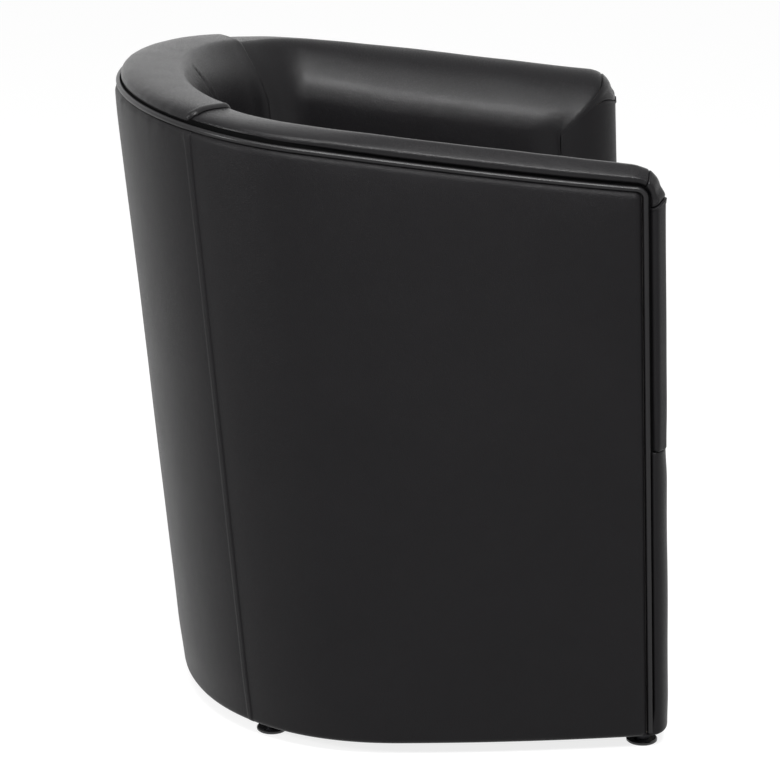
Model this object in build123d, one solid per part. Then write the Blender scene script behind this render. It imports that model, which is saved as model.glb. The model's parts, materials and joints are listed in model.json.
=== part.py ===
from build123d import *
import math
import os

# Overall sizes of the tub, in millimetres: X across, Y front to back, Z up from the floor
depth = 636.0
ground_gap = 18.5
front_rise = 660.0
back_rise = 732.0
top_half_width = 328.0
top_front_flare = 1.5
top_front_setback = 48.0
top_turn_run = 211.5
base_draw_in = 9.5
base_front_draw_in = 19.5
base_turn_run = 263.0
base_back_setback = 65.0
top_handle_share = 0.561
base_handle_share = 0.604
forward_reach_share = 0.25

# Wall, rim and facing sections
wall = 80.0
back_extra = 15.0
roll_rise = 23.0
roll_outer_run = 34.0
roll_inner_run = 36.0
roll_outer_run_back_extra = 22.0
roll_handle_share = 0.56
facing_bulge = 23.0
facing_run = 34.0
corner_round = 30.0
cover = 2.0
liner = 3.0
lay_gap = 0.3
hem = 16.0
overrun = 60.0

# Piping cord and the rebate that it lies in
piping_radius = 3.0
piping_inset = 2.5
piping_sides = 10
piping_corner_radius = 10.0
rebate = piping_radius + lay_gap
board_inset = piping_inset + piping_radius + lay_gap

# Seams of the covers
apron_seam_height = 362.0
cap_seam_height = 641.0
seam_slope_share = 0.72
seam_hub_top = 16.0
seam_hub_base = -25.0
seam_gap = 0.4

# Frame boards, posts and rails
board = 18.0
face_board = 12.0
frame_depth = 50.0
post_width = 40.0
rail_width = 20.0
rail_height = 60.0
rail_top = 300.0
base_ring_width = 75.0
base_front_bar = 62.0
tuck = 17.0
block_leg = 45.0

# Seat
strap_width = 50.0
strap_thickness = 2.0
long_straps = 4
cross_straps = 4
strap_pitch_long = 88.0
strap_pitch_cross = 84.0
cross_strap_setback = 105.0
seat_top = 446.0
seat_crown = 46.0
seat_crown_run = 105.0
seat_squeeze = 4.0
seat_draw_in = 5.0
seat_nose = 14.0

# Levelling glides and their tee nuts
front_glide_inset = 30.0
front_glide_setback = 6.0
rear_glide_inset = 85.5
rear_glide_setback = 114.0
disc_radius = 18.0
disc_thickness = 4.5
disc_edge = 1.2
disc_floor = 1.6
collar_radius = 9.0
pin_radius = 3.5
stud_radius = 4.0
running_gap = 0.05
nut_barrel_radius = 5.5
nut_flange_radius = 9.5
nut_flange = 1.5
nut_barrel_end = 3.2
board_end_gap = 1.0

# Worked out from the sizes above
top_back = depth / 2 - (piping_radius - piping_inset)
base_front = facing_bulge - depth / 2
top_front = top_front_setback - depth / 2
base_back = depth / 2 - base_back_setback
top_front_half_width = top_half_width + top_front_flare
base_half_width = top_half_width - base_draw_in
base_front_half_width = base_half_width - base_front_draw_in
top_arc_start = top_back - top_turn_run
base_arc_start = base_back - base_turn_run
pitch = math.atan2(back_rise - front_rise, top_back - top_front)
lean = math.atan2(top_front - base_front, front_rise - ground_gap)
base_floor = ground_gap + cover + lay_gap
base_top = base_floor + board
side_rail_top = rail_top + strap_thickness
seat_floor = side_rail_top + strap_thickness
liner_inset = frame_depth + lay_gap
foam_inset = liner_inset + liner + lay_gap
apron_board_top = apron_seam_height - tuck
rim_board_floor = -face_board


def height_at(y, above=0.0):
    """Height of the sloping plane of the piping at y, or of one `above` it."""
    return front_rise + (y - top_front) * math.tan(pitch) + above / math.cos(pitch)


def front_at(z):
    """Y of the leaning front line at height z."""
    return top_front - (front_rise - z) * math.tan(lean)


def side_at(z):
    """Half width of the front line at height z."""
    share = (z - ground_gap) / (front_rise - ground_gap)
    return base_front_half_width + share * (top_front_half_width - base_front_half_width)


def quarter(start, corner, end, handle_share):
    """Smooth quarter turn from start to end that leans on the corner point."""
    first = start + (corner - start) * handle_share
    second = end + (corner - end) * handle_share
    return Bezier(start, first, second, end)


def half_outline(place, side, half, front_half, arc, front, back, handle_share):
    """Side and back quarter of one half of a plan, from its front end to the middle of the back."""
    reach = (arc - front) * (1 + forward_reach_share)
    flare = (half - front_half) * (1 + forward_reach_share) ** 2
    front_point = place(side * (half - flare), arc - reach)
    arc_point = place(side * half, arc)
    bow = Bezier(front_point, place(side * half, arc - reach / 2), arc_point)
    turn = quarter(arc_point, place(side * half, back), place(0, back), handle_share)
    return [bow, turn]


def outline(place, sizes, inset, extra):
    """Right and left halves of a plan outline that lies `inset` in from the skin, `extra` more at the back."""
    half, front_half, arc, front, back, handle_share = sizes
    sides = []
    for side in (1, -1):
        sides.append(
            half_outline(
                place, side, half - inset, front_half - inset, arc, front, back - inset - extra, handle_share
            )
        )
    return sides


top_sizes = (top_half_width, top_front_half_width, top_arc_start, top_front, top_back, top_handle_share)
base_sizes = (base_half_width, base_front_half_width, base_arc_start, base_front, base_back, base_handle_share)


def top_place(above=0.0):
    """Maps plan positions on to the sloping plane of the piping, or one `above` it."""
    return lambda x, y: Vector(x, y - above * math.sin(pitch), height_at(y) + above * math.cos(pitch))


def level_place(z):
    """Maps plan positions on to the level plane at height z."""
    return lambda x, y: Vector(x, y, z)


def plan_face(place, sizes, inset, extra):
    """Face inside one plan outline."""
    right, left = outline(place, sizes, inset, extra)
    front_line = Line(left[0] @ 0, right[0] @ 0)
    return make_face([right[0], right[1], left[1], left[0], front_line])


def plug(inset, extra=0.0):
    """Solid inside the wall surface that lies `inset` in from the skin, from the lower edge to the piping."""
    base = plan_face(level_place(ground_gap), base_sizes, inset, extra)
    top = plan_face(top_place(rebate), top_sizes, inset, extra)
    return loft([base, top], ruled=True)


def corner_yz(ahead, above):
    """Y and Z where the front plane moved `ahead` meets the piping plane moved `above`."""
    front_normal = (-math.cos(lean), math.sin(lean))
    top_normal = (-math.sin(pitch), math.cos(pitch))
    spread = front_normal[0] * top_normal[1] - front_normal[1] * top_normal[0]
    y = (ahead * top_normal[1] - above * front_normal[1]) / spread
    z = (above * front_normal[0] - ahead * top_normal[0]) / spread
    return top_front + y, front_rise + z


def side_zone(ahead, above, low=0.0, corner=0.0):
    """Block behind the front plane moved `ahead` and under the piping plane moved `above`, down to `low`."""
    corner_y, corner_z = corner_yz(ahead, above)
    far = depth
    points = [
        Vector(0, front_at(low) - ahead / math.cos(lean), low),
        Vector(0, corner_y, corner_z),
        Vector(0, far, height_at(far, above)),
        Vector(0, far, low),
    ]
    edges = Polyline(*points, close=True)
    face = make_face(edges.edges())
    if corner > 0:
        tip = face.vertices().sort_by(Axis.Y)[0:2].sort_by(Axis.Z)[-1]
        face = face.face().fillet_2d(corner, [tip])
    half_span = top_half_width + overrun
    return extrude(face, amount=half_span, dir=(1, 0, 0), both=True)


def level_zone(low, high):
    """Level slab between two heights."""
    span = 2 * depth
    return Pos(0, 0, (low + high) / 2) * Box(span, span, high - low)


def back_sector(gap=0.0):
    """Wedge behind the two seams, narrowed by `gap` at each seam."""
    far = depth
    faces = []
    for hub, height in ((seam_hub_base, 0.0), (seam_hub_top, back_rise)):
        rise = far * seam_slope_share
        tip = hub + gap
        points = [Vector(0, tip, height), Vector(far, tip + rise, height)]
        points += [Vector(far, 2 * far, height), Vector(-far, 2 * far, height), Vector(-far, tip + rise, height)]
        faces.append(points)
    higher = 1 + overrun / back_rise
    lifted = [low + (high - low) * higher for low, high in zip(faces[0], faces[1])]
    return loft([make_face(Polyline(*p, close=True).edges()) for p in (faces[0], lifted)], ruled=True)


def side_half(side):
    """Half space of one side as a large block."""
    span = 2 * depth
    return Pos(side * span / 2, 0, span / 2) * Box(span, 2 * span, 2 * span)


def shell(outer, inner, extra_outer=0.0, extra_inner=0.0):
    """Wall layer between two depths in from the skin."""
    return plug(outer, extra_outer) - plug(inner, extra_inner)


def three_parts(layer, gap=seam_gap / 2):
    """Left, right and back parts of a wall layer, cut at the seams."""
    back = layer & back_sector(gap)
    front = layer - back_sector(-gap)
    return {"left": front & side_half(-1), "right": front & side_half(1), "back": back}


def roll_levels(skin, base_level):
    """Height above the piping plane and run from the edge, as shares, on the way to the crest of the roll."""
    height = roll_rise - skin - base_level
    angles = [0, 30, 55, 75, 90]
    return [(base_level + height * math.sin(math.radians(a)), 1 - math.cos(math.radians(a))) for a in angles]


def rim_band(above, outer, inner, outer_extra, inner_extra):
    """U-shaped face of the rim roll at one height above the piping plane."""
    place = top_place(above)
    outer_right, outer_left = outline(place, top_sizes, outer, outer_extra)
    inner_right, inner_left = outline(place, top_sizes, inner, inner_extra)
    ends = [Line(outer_left[0] @ 0, inner_left[0] @ 0), Line(inner_right[0] @ 0, outer_right[0] @ 0)]
    edges = [*outer_right, *reversed(outer_left), ends[0], *inner_left, *reversed(inner_right), ends[1]]
    return make_face(edges)


def rim_form(skin):
    """Rolled rim all round, `skin` in from its surface."""
    bands = []
    for above, run in roll_levels(skin, rebate):
        outer = skin + (roll_outer_run - skin) * run
        inner = wall - skin - (roll_inner_run - skin) * run
        bands.append(rim_band(above, outer, inner, roll_outer_run_back_extra * run, back_extra))
    return loft(bands)


def facing_section(z, skin, whole, ahead):
    """Domed plan section of an arm facing, or of the whole apron, at one height."""
    outer = side_at(z) - skin
    inner = side_at(z) - wall + skin
    back = front_at(z) - ahead / math.cos(lean)
    front = front_at(z) - (facing_bulge - skin) / math.cos(lean)
    near = -outer if whole else inner
    points = [Vector(outer, back, z), Vector(outer, front, z), Vector(outer - facing_run, front, z)]
    far = [Vector(near + facing_run, front, z), Vector(near, front, z), Vector(near, back, z)]
    edges = [
        quarter(*points, roll_handle_share),
        Line(points[-1], far[0]),
        quarter(*far, roll_handle_share),
        Line(far[-1], points[0]),
    ]
    return make_face(edges)


def arm_limit(skin):
    """Rim roll's section, carried forward past the arm's front, open below the piping plane."""
    outer = top_front_half_width - skin
    inner = top_front_half_width - wall + skin
    crest = roll_rise - skin
    deep = -2 * depth
    wide = overrun
    section = [
        Line((outer + wide, deep), (outer + wide, 0)),
        Line((outer + wide, 0), (outer, 0)),
        quarter(Vector(outer, 0), Vector(outer, crest), Vector(outer - roll_outer_run, crest), roll_handle_share),
        Line((outer - roll_outer_run, crest), (inner + roll_inner_run, crest)),
        quarter(Vector(inner + roll_inner_run, crest), Vector(inner, crest), Vector(inner, 0), roll_handle_share),
        Line((inner, 0), (inner - wide, 0)),
        Line((inner - wide, 0), (inner - wide, deep)),
        Line((inner - wide, deep), (outer + wide, deep)),
    ]
    across = Plane((0, top_front, front_rise), x_dir=(1, 0, 0), z_dir=(0, -math.cos(pitch), -math.sin(pitch)))
    face = across * make_face(section)
    return extrude(face, amount=2 * overrun, dir=(0, -math.cos(pitch), -math.sin(pitch)), both=True)


def arm_front(skin, low):
    """Padded front of the right arm with its rounded top corner, `skin` in from its surface."""
    top = front_rise + overrun
    sections = [facing_section(z, skin, False, rebate) for z in (low, top)]
    column = loft(sections, ruled=True)
    corner = side_zone(facing_bulge - skin, roll_rise - skin, 0.0, corner_round - skin)
    return column & arm_limit(skin) & corner


def apron_form(skin, low, high):
    """Padded front below the seat, `skin` in from its surface."""
    return loft([facing_section(z, skin, True, rebate) for z in (low, high)], ruled=True)


def mirrored(solid):
    """Left-hand copy of a right-hand piece."""
    return mirror(solid, about=Plane.YZ)


def write(name, shape):
    """Writes one node."""
    export_step(shape, f"parts/{name}.step")


def write_three(name, parts):
    """Writes the left, right and back parts of a layer."""
    for place, solid in parts.items():
        write(f"{name}_{place}", solid)


def outer_covers():
    """Outside leather panels with their lower hems."""
    inside = plug(cover) & level_zone(ground_gap + cover, 2 * depth)
    layer = plug(0) - inside - plug(hem)
    return three_parts(layer & side_zone(-rebate, -rebate, 0.0, piping_corner_radius - rebate))


def outer_liners():
    """Board panels that the outside covers are drawn over."""
    layer = shell(cover + lay_gap, cover + lay_gap + liner)
    zone = side_zone(-rebate, -rebate, base_floor, piping_corner_radius - rebate)
    return three_parts(layer & zone)


def inner_padding():
    """Inner liner and foam of arms and back."""
    low = seat_floor + lay_gap
    behind = side_zone(-face_board - lay_gap, rebate - lay_gap, low)
    ahead = side_zone(rebate - lay_gap, rebate - lay_gap, apron_board_top + lay_gap)
    liner_zone = side_zone(-face_board - lay_gap, rim_board_floor - lay_gap, low)
    liner_layer = shell(liner_inset, liner_inset + liner) & liner_zone
    foam_layer = shell(foam_inset, wall - cover - lay_gap, 0.0, back_extra) & (behind + ahead)
    return three_parts(liner_layer), three_parts(foam_layer)


def inner_covers():
    """Leather of the inside, which rolls over the rim as far as the piping."""
    inside = shell(wall - cover, wall, back_extra, back_extra)
    roll = rim_form(0) - rim_form(cover)
    zone = side_zone(rebate - lay_gap, roll_rise + overrun, apron_board_top)
    return three_parts((inside + roll) & zone)


def rim_foams():
    """Foam of the rolled rim."""
    zone = side_zone(rebate - lay_gap, roll_rise + overrun)
    return three_parts(rim_form(cover + lay_gap) & zone)


def facing_parts():
    """Right arm's facing foam, upper facing cover and corner cap."""
    low = apron_seam_height + seam_gap / 2
    foam = arm_front(cover + lay_gap, low)
    covers = arm_front(0, low) - arm_front(cover, low)
    cap_zone = level_zone(cap_seam_height + seam_gap / 2, 2 * depth)
    facing_zone = level_zone(0, cap_seam_height - seam_gap / 2)
    return foam, covers & facing_zone, covers & cap_zone


def apron_parts():
    """Foam and cover of the front below the seat."""
    high = apron_seam_height - seam_gap / 2
    foam = apron_form(cover + lay_gap, base_top + lay_gap, high)
    skin = apron_form(0, ground_gap, high) - apron_form(cover, ground_gap + cover, high)
    return foam, skin


def glide_places():
    """Name and plan position of the four glides."""
    front = (base_front_half_width - front_glide_inset, base_front + front_glide_setback)
    rear = (base_half_width - rear_glide_inset, base_back - rear_glide_setback)
    return {
        "front_left": (-front[0], front[1]),
        "front_right": front,
        "rear_left": (-rear[0], rear[1]),
        "rear_right": rear,
    }


def turned(points):
    """Body turned about the Z axis from the right half of its section."""
    face = make_face(Polyline(*[Vector(r, 0, z) for r, z in points], close=True).edges())
    return revolve(face, axis=Axis.Z)


def glide_disc():
    """Swivelling foot with the blind hole that takes the stud's pin."""
    bore = pin_radius + running_gap
    crown = disc_thickness - disc_edge
    return turned(
        [
            (0, 0),
            (disc_radius - disc_edge, 0),
            (disc_radius, disc_edge),
            (disc_radius, crown),
            (disc_radius - disc_edge, disc_thickness),
            (bore, disc_thickness),
            (bore, disc_floor),
            (0, disc_floor),
        ]
    )


def glide_stud():
    """Threaded stud with its collar and the pin that turns in the foot."""
    return turned(
        [
            (0, disc_floor + lay_gap),
            (pin_radius, disc_floor + lay_gap),
            (pin_radius, disc_thickness + lay_gap),
            (collar_radius, disc_thickness + lay_gap),
            (collar_radius, base_floor - lay_gap),
            (stud_radius, base_floor - lay_gap),
            (stud_radius, base_top - board_end_gap - disc_edge),
            (stud_radius - disc_edge, base_top - board_end_gap),
            (0, base_top - board_end_gap),
        ]
    )


def tee_nut():
    """Flanged nut let into the base board from above."""
    bore = stud_radius + running_gap
    return turned(
        [
            (bore, base_floor + nut_barrel_end),
            (nut_barrel_radius, base_floor + nut_barrel_end),
            (nut_barrel_radius, base_top - nut_flange),
            (nut_flange_radius, base_top - nut_flange),
            (nut_flange_radius, base_top),
            (bore, base_top),
        ]
    )


def base_board():
    """Ring-shaped base board with the seats of the tee nuts."""
    slab = level_zone(base_floor, base_top)
    behind = plug(board_inset) & side_zone(rebate, 0.0)
    window = plug(base_ring_width) & side_zone(-base_front_bar, 0.0)
    nose = apron_form(cover + lay_gap, base_floor, base_top)
    ring = (behind & slab) + nose - (window & level_zone(0, 2 * base_top))
    barrel_hole = Cylinder(nut_barrel_radius + running_gap, 2 * board)
    flange_hole = Cylinder(nut_flange_radius + running_gap, 2 * nut_flange)
    for x, y in glide_places().values():
        ring -= Pos(x, y, base_floor) * barrel_hole
        ring -= Pos(x, y, base_top) * flange_hole
    return ring


def dust_cover():
    """Thin cloth under the base, inside the hems, with round holes for the glides."""
    cloth = plug(hem + lay_gap) & side_zone(rebate - lay_gap, 0.0)
    cloth = cloth & level_zone(ground_gap + cover / 2, base_floor - lay_gap)
    for x, y in glide_places().values():
        cloth -= Pos(x, y, ground_gap) * Cylinder(collar_radius + lay_gap, board)
    return cloth


def rim_board():
    """U-shaped board under the rolled rim, parallel to the piping."""
    ring = shell(board_inset, foam_inset - lay_gap)
    return (ring & side_zone(rebate - lay_gap, rebate - lay_gap)) - side_zone(depth, rim_board_floor)


def front_boards():
    """Panel that closes the front of the right arm, and the one under the seat between the arms."""
    top = rim_board_floor - lay_gap
    low = base_top
    band = side_zone(rebate - lay_gap, top, low) - side_zone(-face_board, 2 * roll_rise)
    arm = shell(board_inset, foam_inset - lay_gap) & band & side_half(1)
    between = plug(foam_inset) & band & level_zone(0, apron_board_top)
    return arm, between


def posts():
    """Upright posts of the right side: behind the arm's front and at the back seam."""
    layer = shell(board_inset, frame_depth) & side_zone(-face_board - lay_gap, rim_board_floor - lay_gap, base_top)
    front_depth = face_board + lay_gap + post_width
    front = (layer - side_zone(-front_depth, 2 * roll_rise)) & side_half(1)
    near = back_sector(post_width / 2)
    far = back_sector(-post_width / 2)
    back = ((layer & far) - near) & side_half(1)
    return front, back


def rails():
    """Seat rails: front, right side and curved back."""
    ring = shell(liner_inset, liner_inset + rail_width)
    behind = -face_board - lay_gap
    front_back = behind - rail_width
    front_zone = side_zone(behind, 0.0) - side_zone(front_back, 2 * roll_rise)
    inner = plug(liner_inset) & level_zone(rail_top - rail_height, rail_top)
    front = inner & front_zone
    sides = three_parts(ring & side_zone(front_back - lay_gap, 0.0))
    side = sides["right"] & level_zone(side_rail_top - rail_height, side_rail_top)
    back = sides["back"] & level_zone(rail_top - rail_height, rail_top)
    return front, side, back


def straps():
    """Elastic straps, lengthwise on the front and back rails and crosswise on the side rails."""
    grip = liner_inset + rail_width / 4
    inside = plug(grip) & side_zone(-face_board - rail_width / 2, 0.0)
    long_length = 2 * depth
    lengthwise = []
    for i in range(long_straps):
        x = (i - (long_straps - 1) / 2) * strap_pitch_long
        strap = Pos(x, 0, rail_top + strap_thickness / 2) * Box(strap_width, long_length, strap_thickness)
        lengthwise.append(strap & inside)
    crosswise = []
    for i in range(cross_straps):
        y = base_front + cross_strap_setback + i * strap_pitch_cross
        strap = Pos(0, y, side_rail_top + strap_thickness / 2) * Box(long_length, strap_width, strap_thickness)
        crosswise.append(strap & inside)
    return lengthwise, crosswise


def corner_blocks():
    """Glue block in the corner of the front rail and the right side rail."""
    middle = rail_top - rail_height / 2
    x = side_at(middle) - frame_depth - rail_width / 2
    y = front_at(middle) + face_board + rail_width / 2
    reach = block_leg + rail_width
    corner = [Vector(x, y), Vector(x - reach, y), Vector(x, y + reach)]
    prism = extrude(make_face(Polyline(*corner, close=True).edges()), amount=rail_height)
    inside = plug(frame_depth + 2 * lay_gap + rail_width)
    behind = side_zone(-face_board - rail_width - 2 * lay_gap, 0.0)
    return (Pos(0, 0, rail_top - rail_height) * prism) & inside & behind


def seat_section(z, inset, front_inset):
    """Level outline of the seat pad at one height, `inset` in from the inside of the tub."""
    share = (z - ground_gap) / (back_rise - ground_gap)
    mixed = [low + (high - low) * share for low, high in zip(base_sizes, top_sizes)]
    front = front_at(z) + front_inset
    total = wall + seat_squeeze + inset
    mixed[3] = mixed[2] - (mixed[2] - front) / (1 + forward_reach_share)
    return plan_face(level_place(z), tuple(mixed), total, back_extra)


def seat_form(skin):
    """Crowned seat pad with drawn-in sides, `skin` in from its surface."""
    side = seat_top - seat_crown
    levels = [(seat_floor, seat_draw_in + skin), ((seat_floor + side) / 2, skin + seat_draw_in / 4)]
    for angle in (0, 30, 55, 75, 90):
        turn = math.radians(angle)
        run = seat_crown_run * (1 - math.cos(turn))
        levels.append((side + (seat_crown - skin) * math.sin(turn), skin + run))
    return loft([seat_section(z, inset, inset - seat_nose) for z, inset in levels])


def seat_parts():
    """Foam and cover of the seat: the foam stands behind the apron's board, the cover above the apron's seam."""
    low_front = level_zone(0, apron_seam_height + lay_gap) - side_zone(-face_board - lay_gap, roll_rise)
    foam = seat_form(cover + lay_gap) - low_front
    skin = seat_form(0) - seat_form(cover)
    return foam, skin & level_zone(apron_seam_height + lay_gap, 2 * depth)


def piping_path():
    """Route of the piping: up the right arm's front, round the rim and down the left arm's front."""
    half = top_half_width - piping_inset
    runs = []
    for side in (1, -1):
        low = Vector(side * (base_front_half_width - piping_inset), base_front, ground_gap)
        corner = Vector(side * (top_front_half_width - piping_inset), top_front, front_rise)
        arc_point = Vector(side * half, top_arc_start, height_at(top_arc_start))
        runs.append(FilletPolyline(low, corner, arc_point, radius=piping_corner_radius))
    place = top_place()
    back = top_back - piping_inset
    turns = []
    for side in (1, -1):
        start = place(side * half, top_arc_start)
        turns.append(quarter(start, place(side * half, back), place(0, back), top_handle_share))
    return Wire([*runs[0].edges(), turns[0], turns[1], *runs[1].edges()])


def piping():
    """Piping cord along its whole route."""
    path = piping_path()
    section = Plane(path @ 0, z_dir=path % 0) * RegularPolygon(piping_radius, piping_sides)
    return sweep(section, path=path)


def main():
    """Builds and writes every piece."""
    os.makedirs("parts", exist_ok=True)
    write_three("outer_cover", outer_covers())
    write_three("outer_liner", outer_liners())
    liners, foams = inner_padding()
    write_three("inner_liner", liners)
    write_three("inner_foam", foams)
    write_three("inner_cover", inner_covers())
    write_three("rim_foam", rim_foams())
    foam, facing, cap = facing_parts()
    arm_board, apron_board = front_boards()
    front_post, back_post = posts()
    front_rail, side_rail, back_rail = rails()
    pairs = {
        "facing_foam": foam,
        "facing_cover": facing,
        "facing_cap": cap,
        "arm_front_board": arm_board,
        "front_post": front_post,
        "back_post": back_post,
        "side_rail": side_rail,
    }
    for name, solid in pairs.items():
        write(f"{name}_right", solid)
        write(f"{name}_left", mirrored(solid))
    write("apron_board", apron_board)
    write("front_rail", front_rail)
    write("back_rail", back_rail)
    apron_foam, apron_cover = apron_parts()
    write("apron_foam", apron_foam)
    write("apron_cover", apron_cover)
    write("base_board", base_board())
    write("rim_board", rim_board())
    write("dust_cover", dust_cover())
    lengthwise, crosswise = straps()
    write("straps_lengthwise", Compound(children=lengthwise))
    write("straps_crosswise", Compound(children=crosswise))
    block = corner_blocks()
    write("corner_blocks", Compound(children=[block, mirrored(block)]))
    seat_foam, seat_cover = seat_parts()
    write("seat_foam", seat_foam)
    write("seat_cover", seat_cover)
    write("piping", piping())
    nuts = []
    for name, (x, y) in glide_places().items():
        write(f"glide_disc_{name}", Pos(x, y, 0) * glide_disc())
        write(f"glide_stud_{name}", Pos(x, y, 0) * glide_stud())
        nuts.append(Pos(x, y, 0) * tee_nut())
    write("tee_nuts", Compound(children=nuts))


main()
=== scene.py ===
"""Tub armchair in black leather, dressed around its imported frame."""

from __future__ import annotations

import json
import logging
import math
from dataclasses import dataclass, field
from enum import Enum
from typing import Any, Callable, Sequence

import bmesh
import bpy
import numpy as np
from mathutils import Matrix, Vector, noise

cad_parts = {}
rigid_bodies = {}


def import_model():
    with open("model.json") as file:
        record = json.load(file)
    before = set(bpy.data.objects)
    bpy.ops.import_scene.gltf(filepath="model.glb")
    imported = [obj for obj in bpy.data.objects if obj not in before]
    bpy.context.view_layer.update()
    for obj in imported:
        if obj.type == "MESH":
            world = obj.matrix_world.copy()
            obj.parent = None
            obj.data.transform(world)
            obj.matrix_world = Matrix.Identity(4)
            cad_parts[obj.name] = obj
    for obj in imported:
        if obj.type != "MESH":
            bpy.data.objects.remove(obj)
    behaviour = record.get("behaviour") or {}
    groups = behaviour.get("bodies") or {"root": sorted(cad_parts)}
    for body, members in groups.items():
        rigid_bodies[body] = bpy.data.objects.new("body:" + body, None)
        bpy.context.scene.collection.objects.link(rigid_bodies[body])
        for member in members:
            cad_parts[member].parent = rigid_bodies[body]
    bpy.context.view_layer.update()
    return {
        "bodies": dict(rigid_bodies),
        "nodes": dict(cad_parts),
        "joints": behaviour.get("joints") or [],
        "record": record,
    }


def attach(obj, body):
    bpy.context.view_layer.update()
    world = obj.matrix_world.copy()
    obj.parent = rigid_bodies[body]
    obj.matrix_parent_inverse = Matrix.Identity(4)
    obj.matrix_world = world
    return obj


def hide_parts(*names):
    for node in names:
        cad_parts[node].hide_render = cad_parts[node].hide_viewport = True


LOG = logging.getLogger("tub_armchair")
MM = 0.001
TUB = "tub"


class Side(Enum):
    """The two arms, named as in a view along +Y."""

    LEFT = -1.0
    RIGHT = 1.0

    @property
    def word(self) -> str:
        """Ending of a piece's name."""
        return self.name.lower()


class Slot(Enum):
    """Material slots of the record that the new pieces use."""

    BLACK_LEATHER = "black_leather"
    SEAT_LEATHER = "seat_leather"
    PIPING_LEATHER = "piping_leather"


# ---------------------------------------------------------------- shader helpers


class Value:
    """A shader socket whose arithmetic adds Math nodes."""

    def __init__(self, graph: "Graph", socket: bpy.types.NodeSocket) -> None:
        """Wraps one output socket of a graph."""
        self.graph = graph
        self.socket = socket

    def _math(self, operation: str, first: Any, second: Any) -> "Value":
        """Adds one Math node.

        Args:
            operation: the node's operation.
            first: left value or number.
            second: right value or number.

        Returns:
            The node's result.
        """
        node = self.graph.node("ShaderNodeMath", {"operation": operation}, {0: first, 1: second})
        return Value(self.graph, node.outputs[0])

    def __add__(self, other: Any) -> "Value":
        """self + other"""
        return self._math("ADD", self, other)

    __radd__ = __add__

    def __mul__(self, other: Any) -> "Value":
        """self * other"""
        return self._math("MULTIPLY", self, other)

    __rmul__ = __mul__

    def __sub__(self, other: Any) -> "Value":
        """self - other"""
        return self._math("SUBTRACT", self, other)

    def __rsub__(self, other: Any) -> "Value":
        """other - self"""
        return self._math("SUBTRACT", other, self)

    def __pow__(self, other: Any) -> "Value":
        """self to the power of other"""
        return self._math("POWER", self, other)

    def clamp(self) -> "Value":
        """The value kept between 0 and 1."""
        node = self.graph.node("ShaderNodeClamp", {}, {"Value": self})
        return Value(self.graph, node.outputs[0])

    def steps(self, low: float, high: float) -> "Value":
        """Smooth 0 to 1 between two thresholds.

        Args:
            low: where the result leaves 0.
            high: where the result reaches 1.

        Returns:
            The smoothed share.
        """
        settings = {"interpolation_type": "SMOOTHSTEP"}
        node = self.graph.node("ShaderNodeMapRange", settings, {"Value": self, "From Min": low, "From Max": high})
        return Value(self.graph, node.outputs["Result"])


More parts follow.
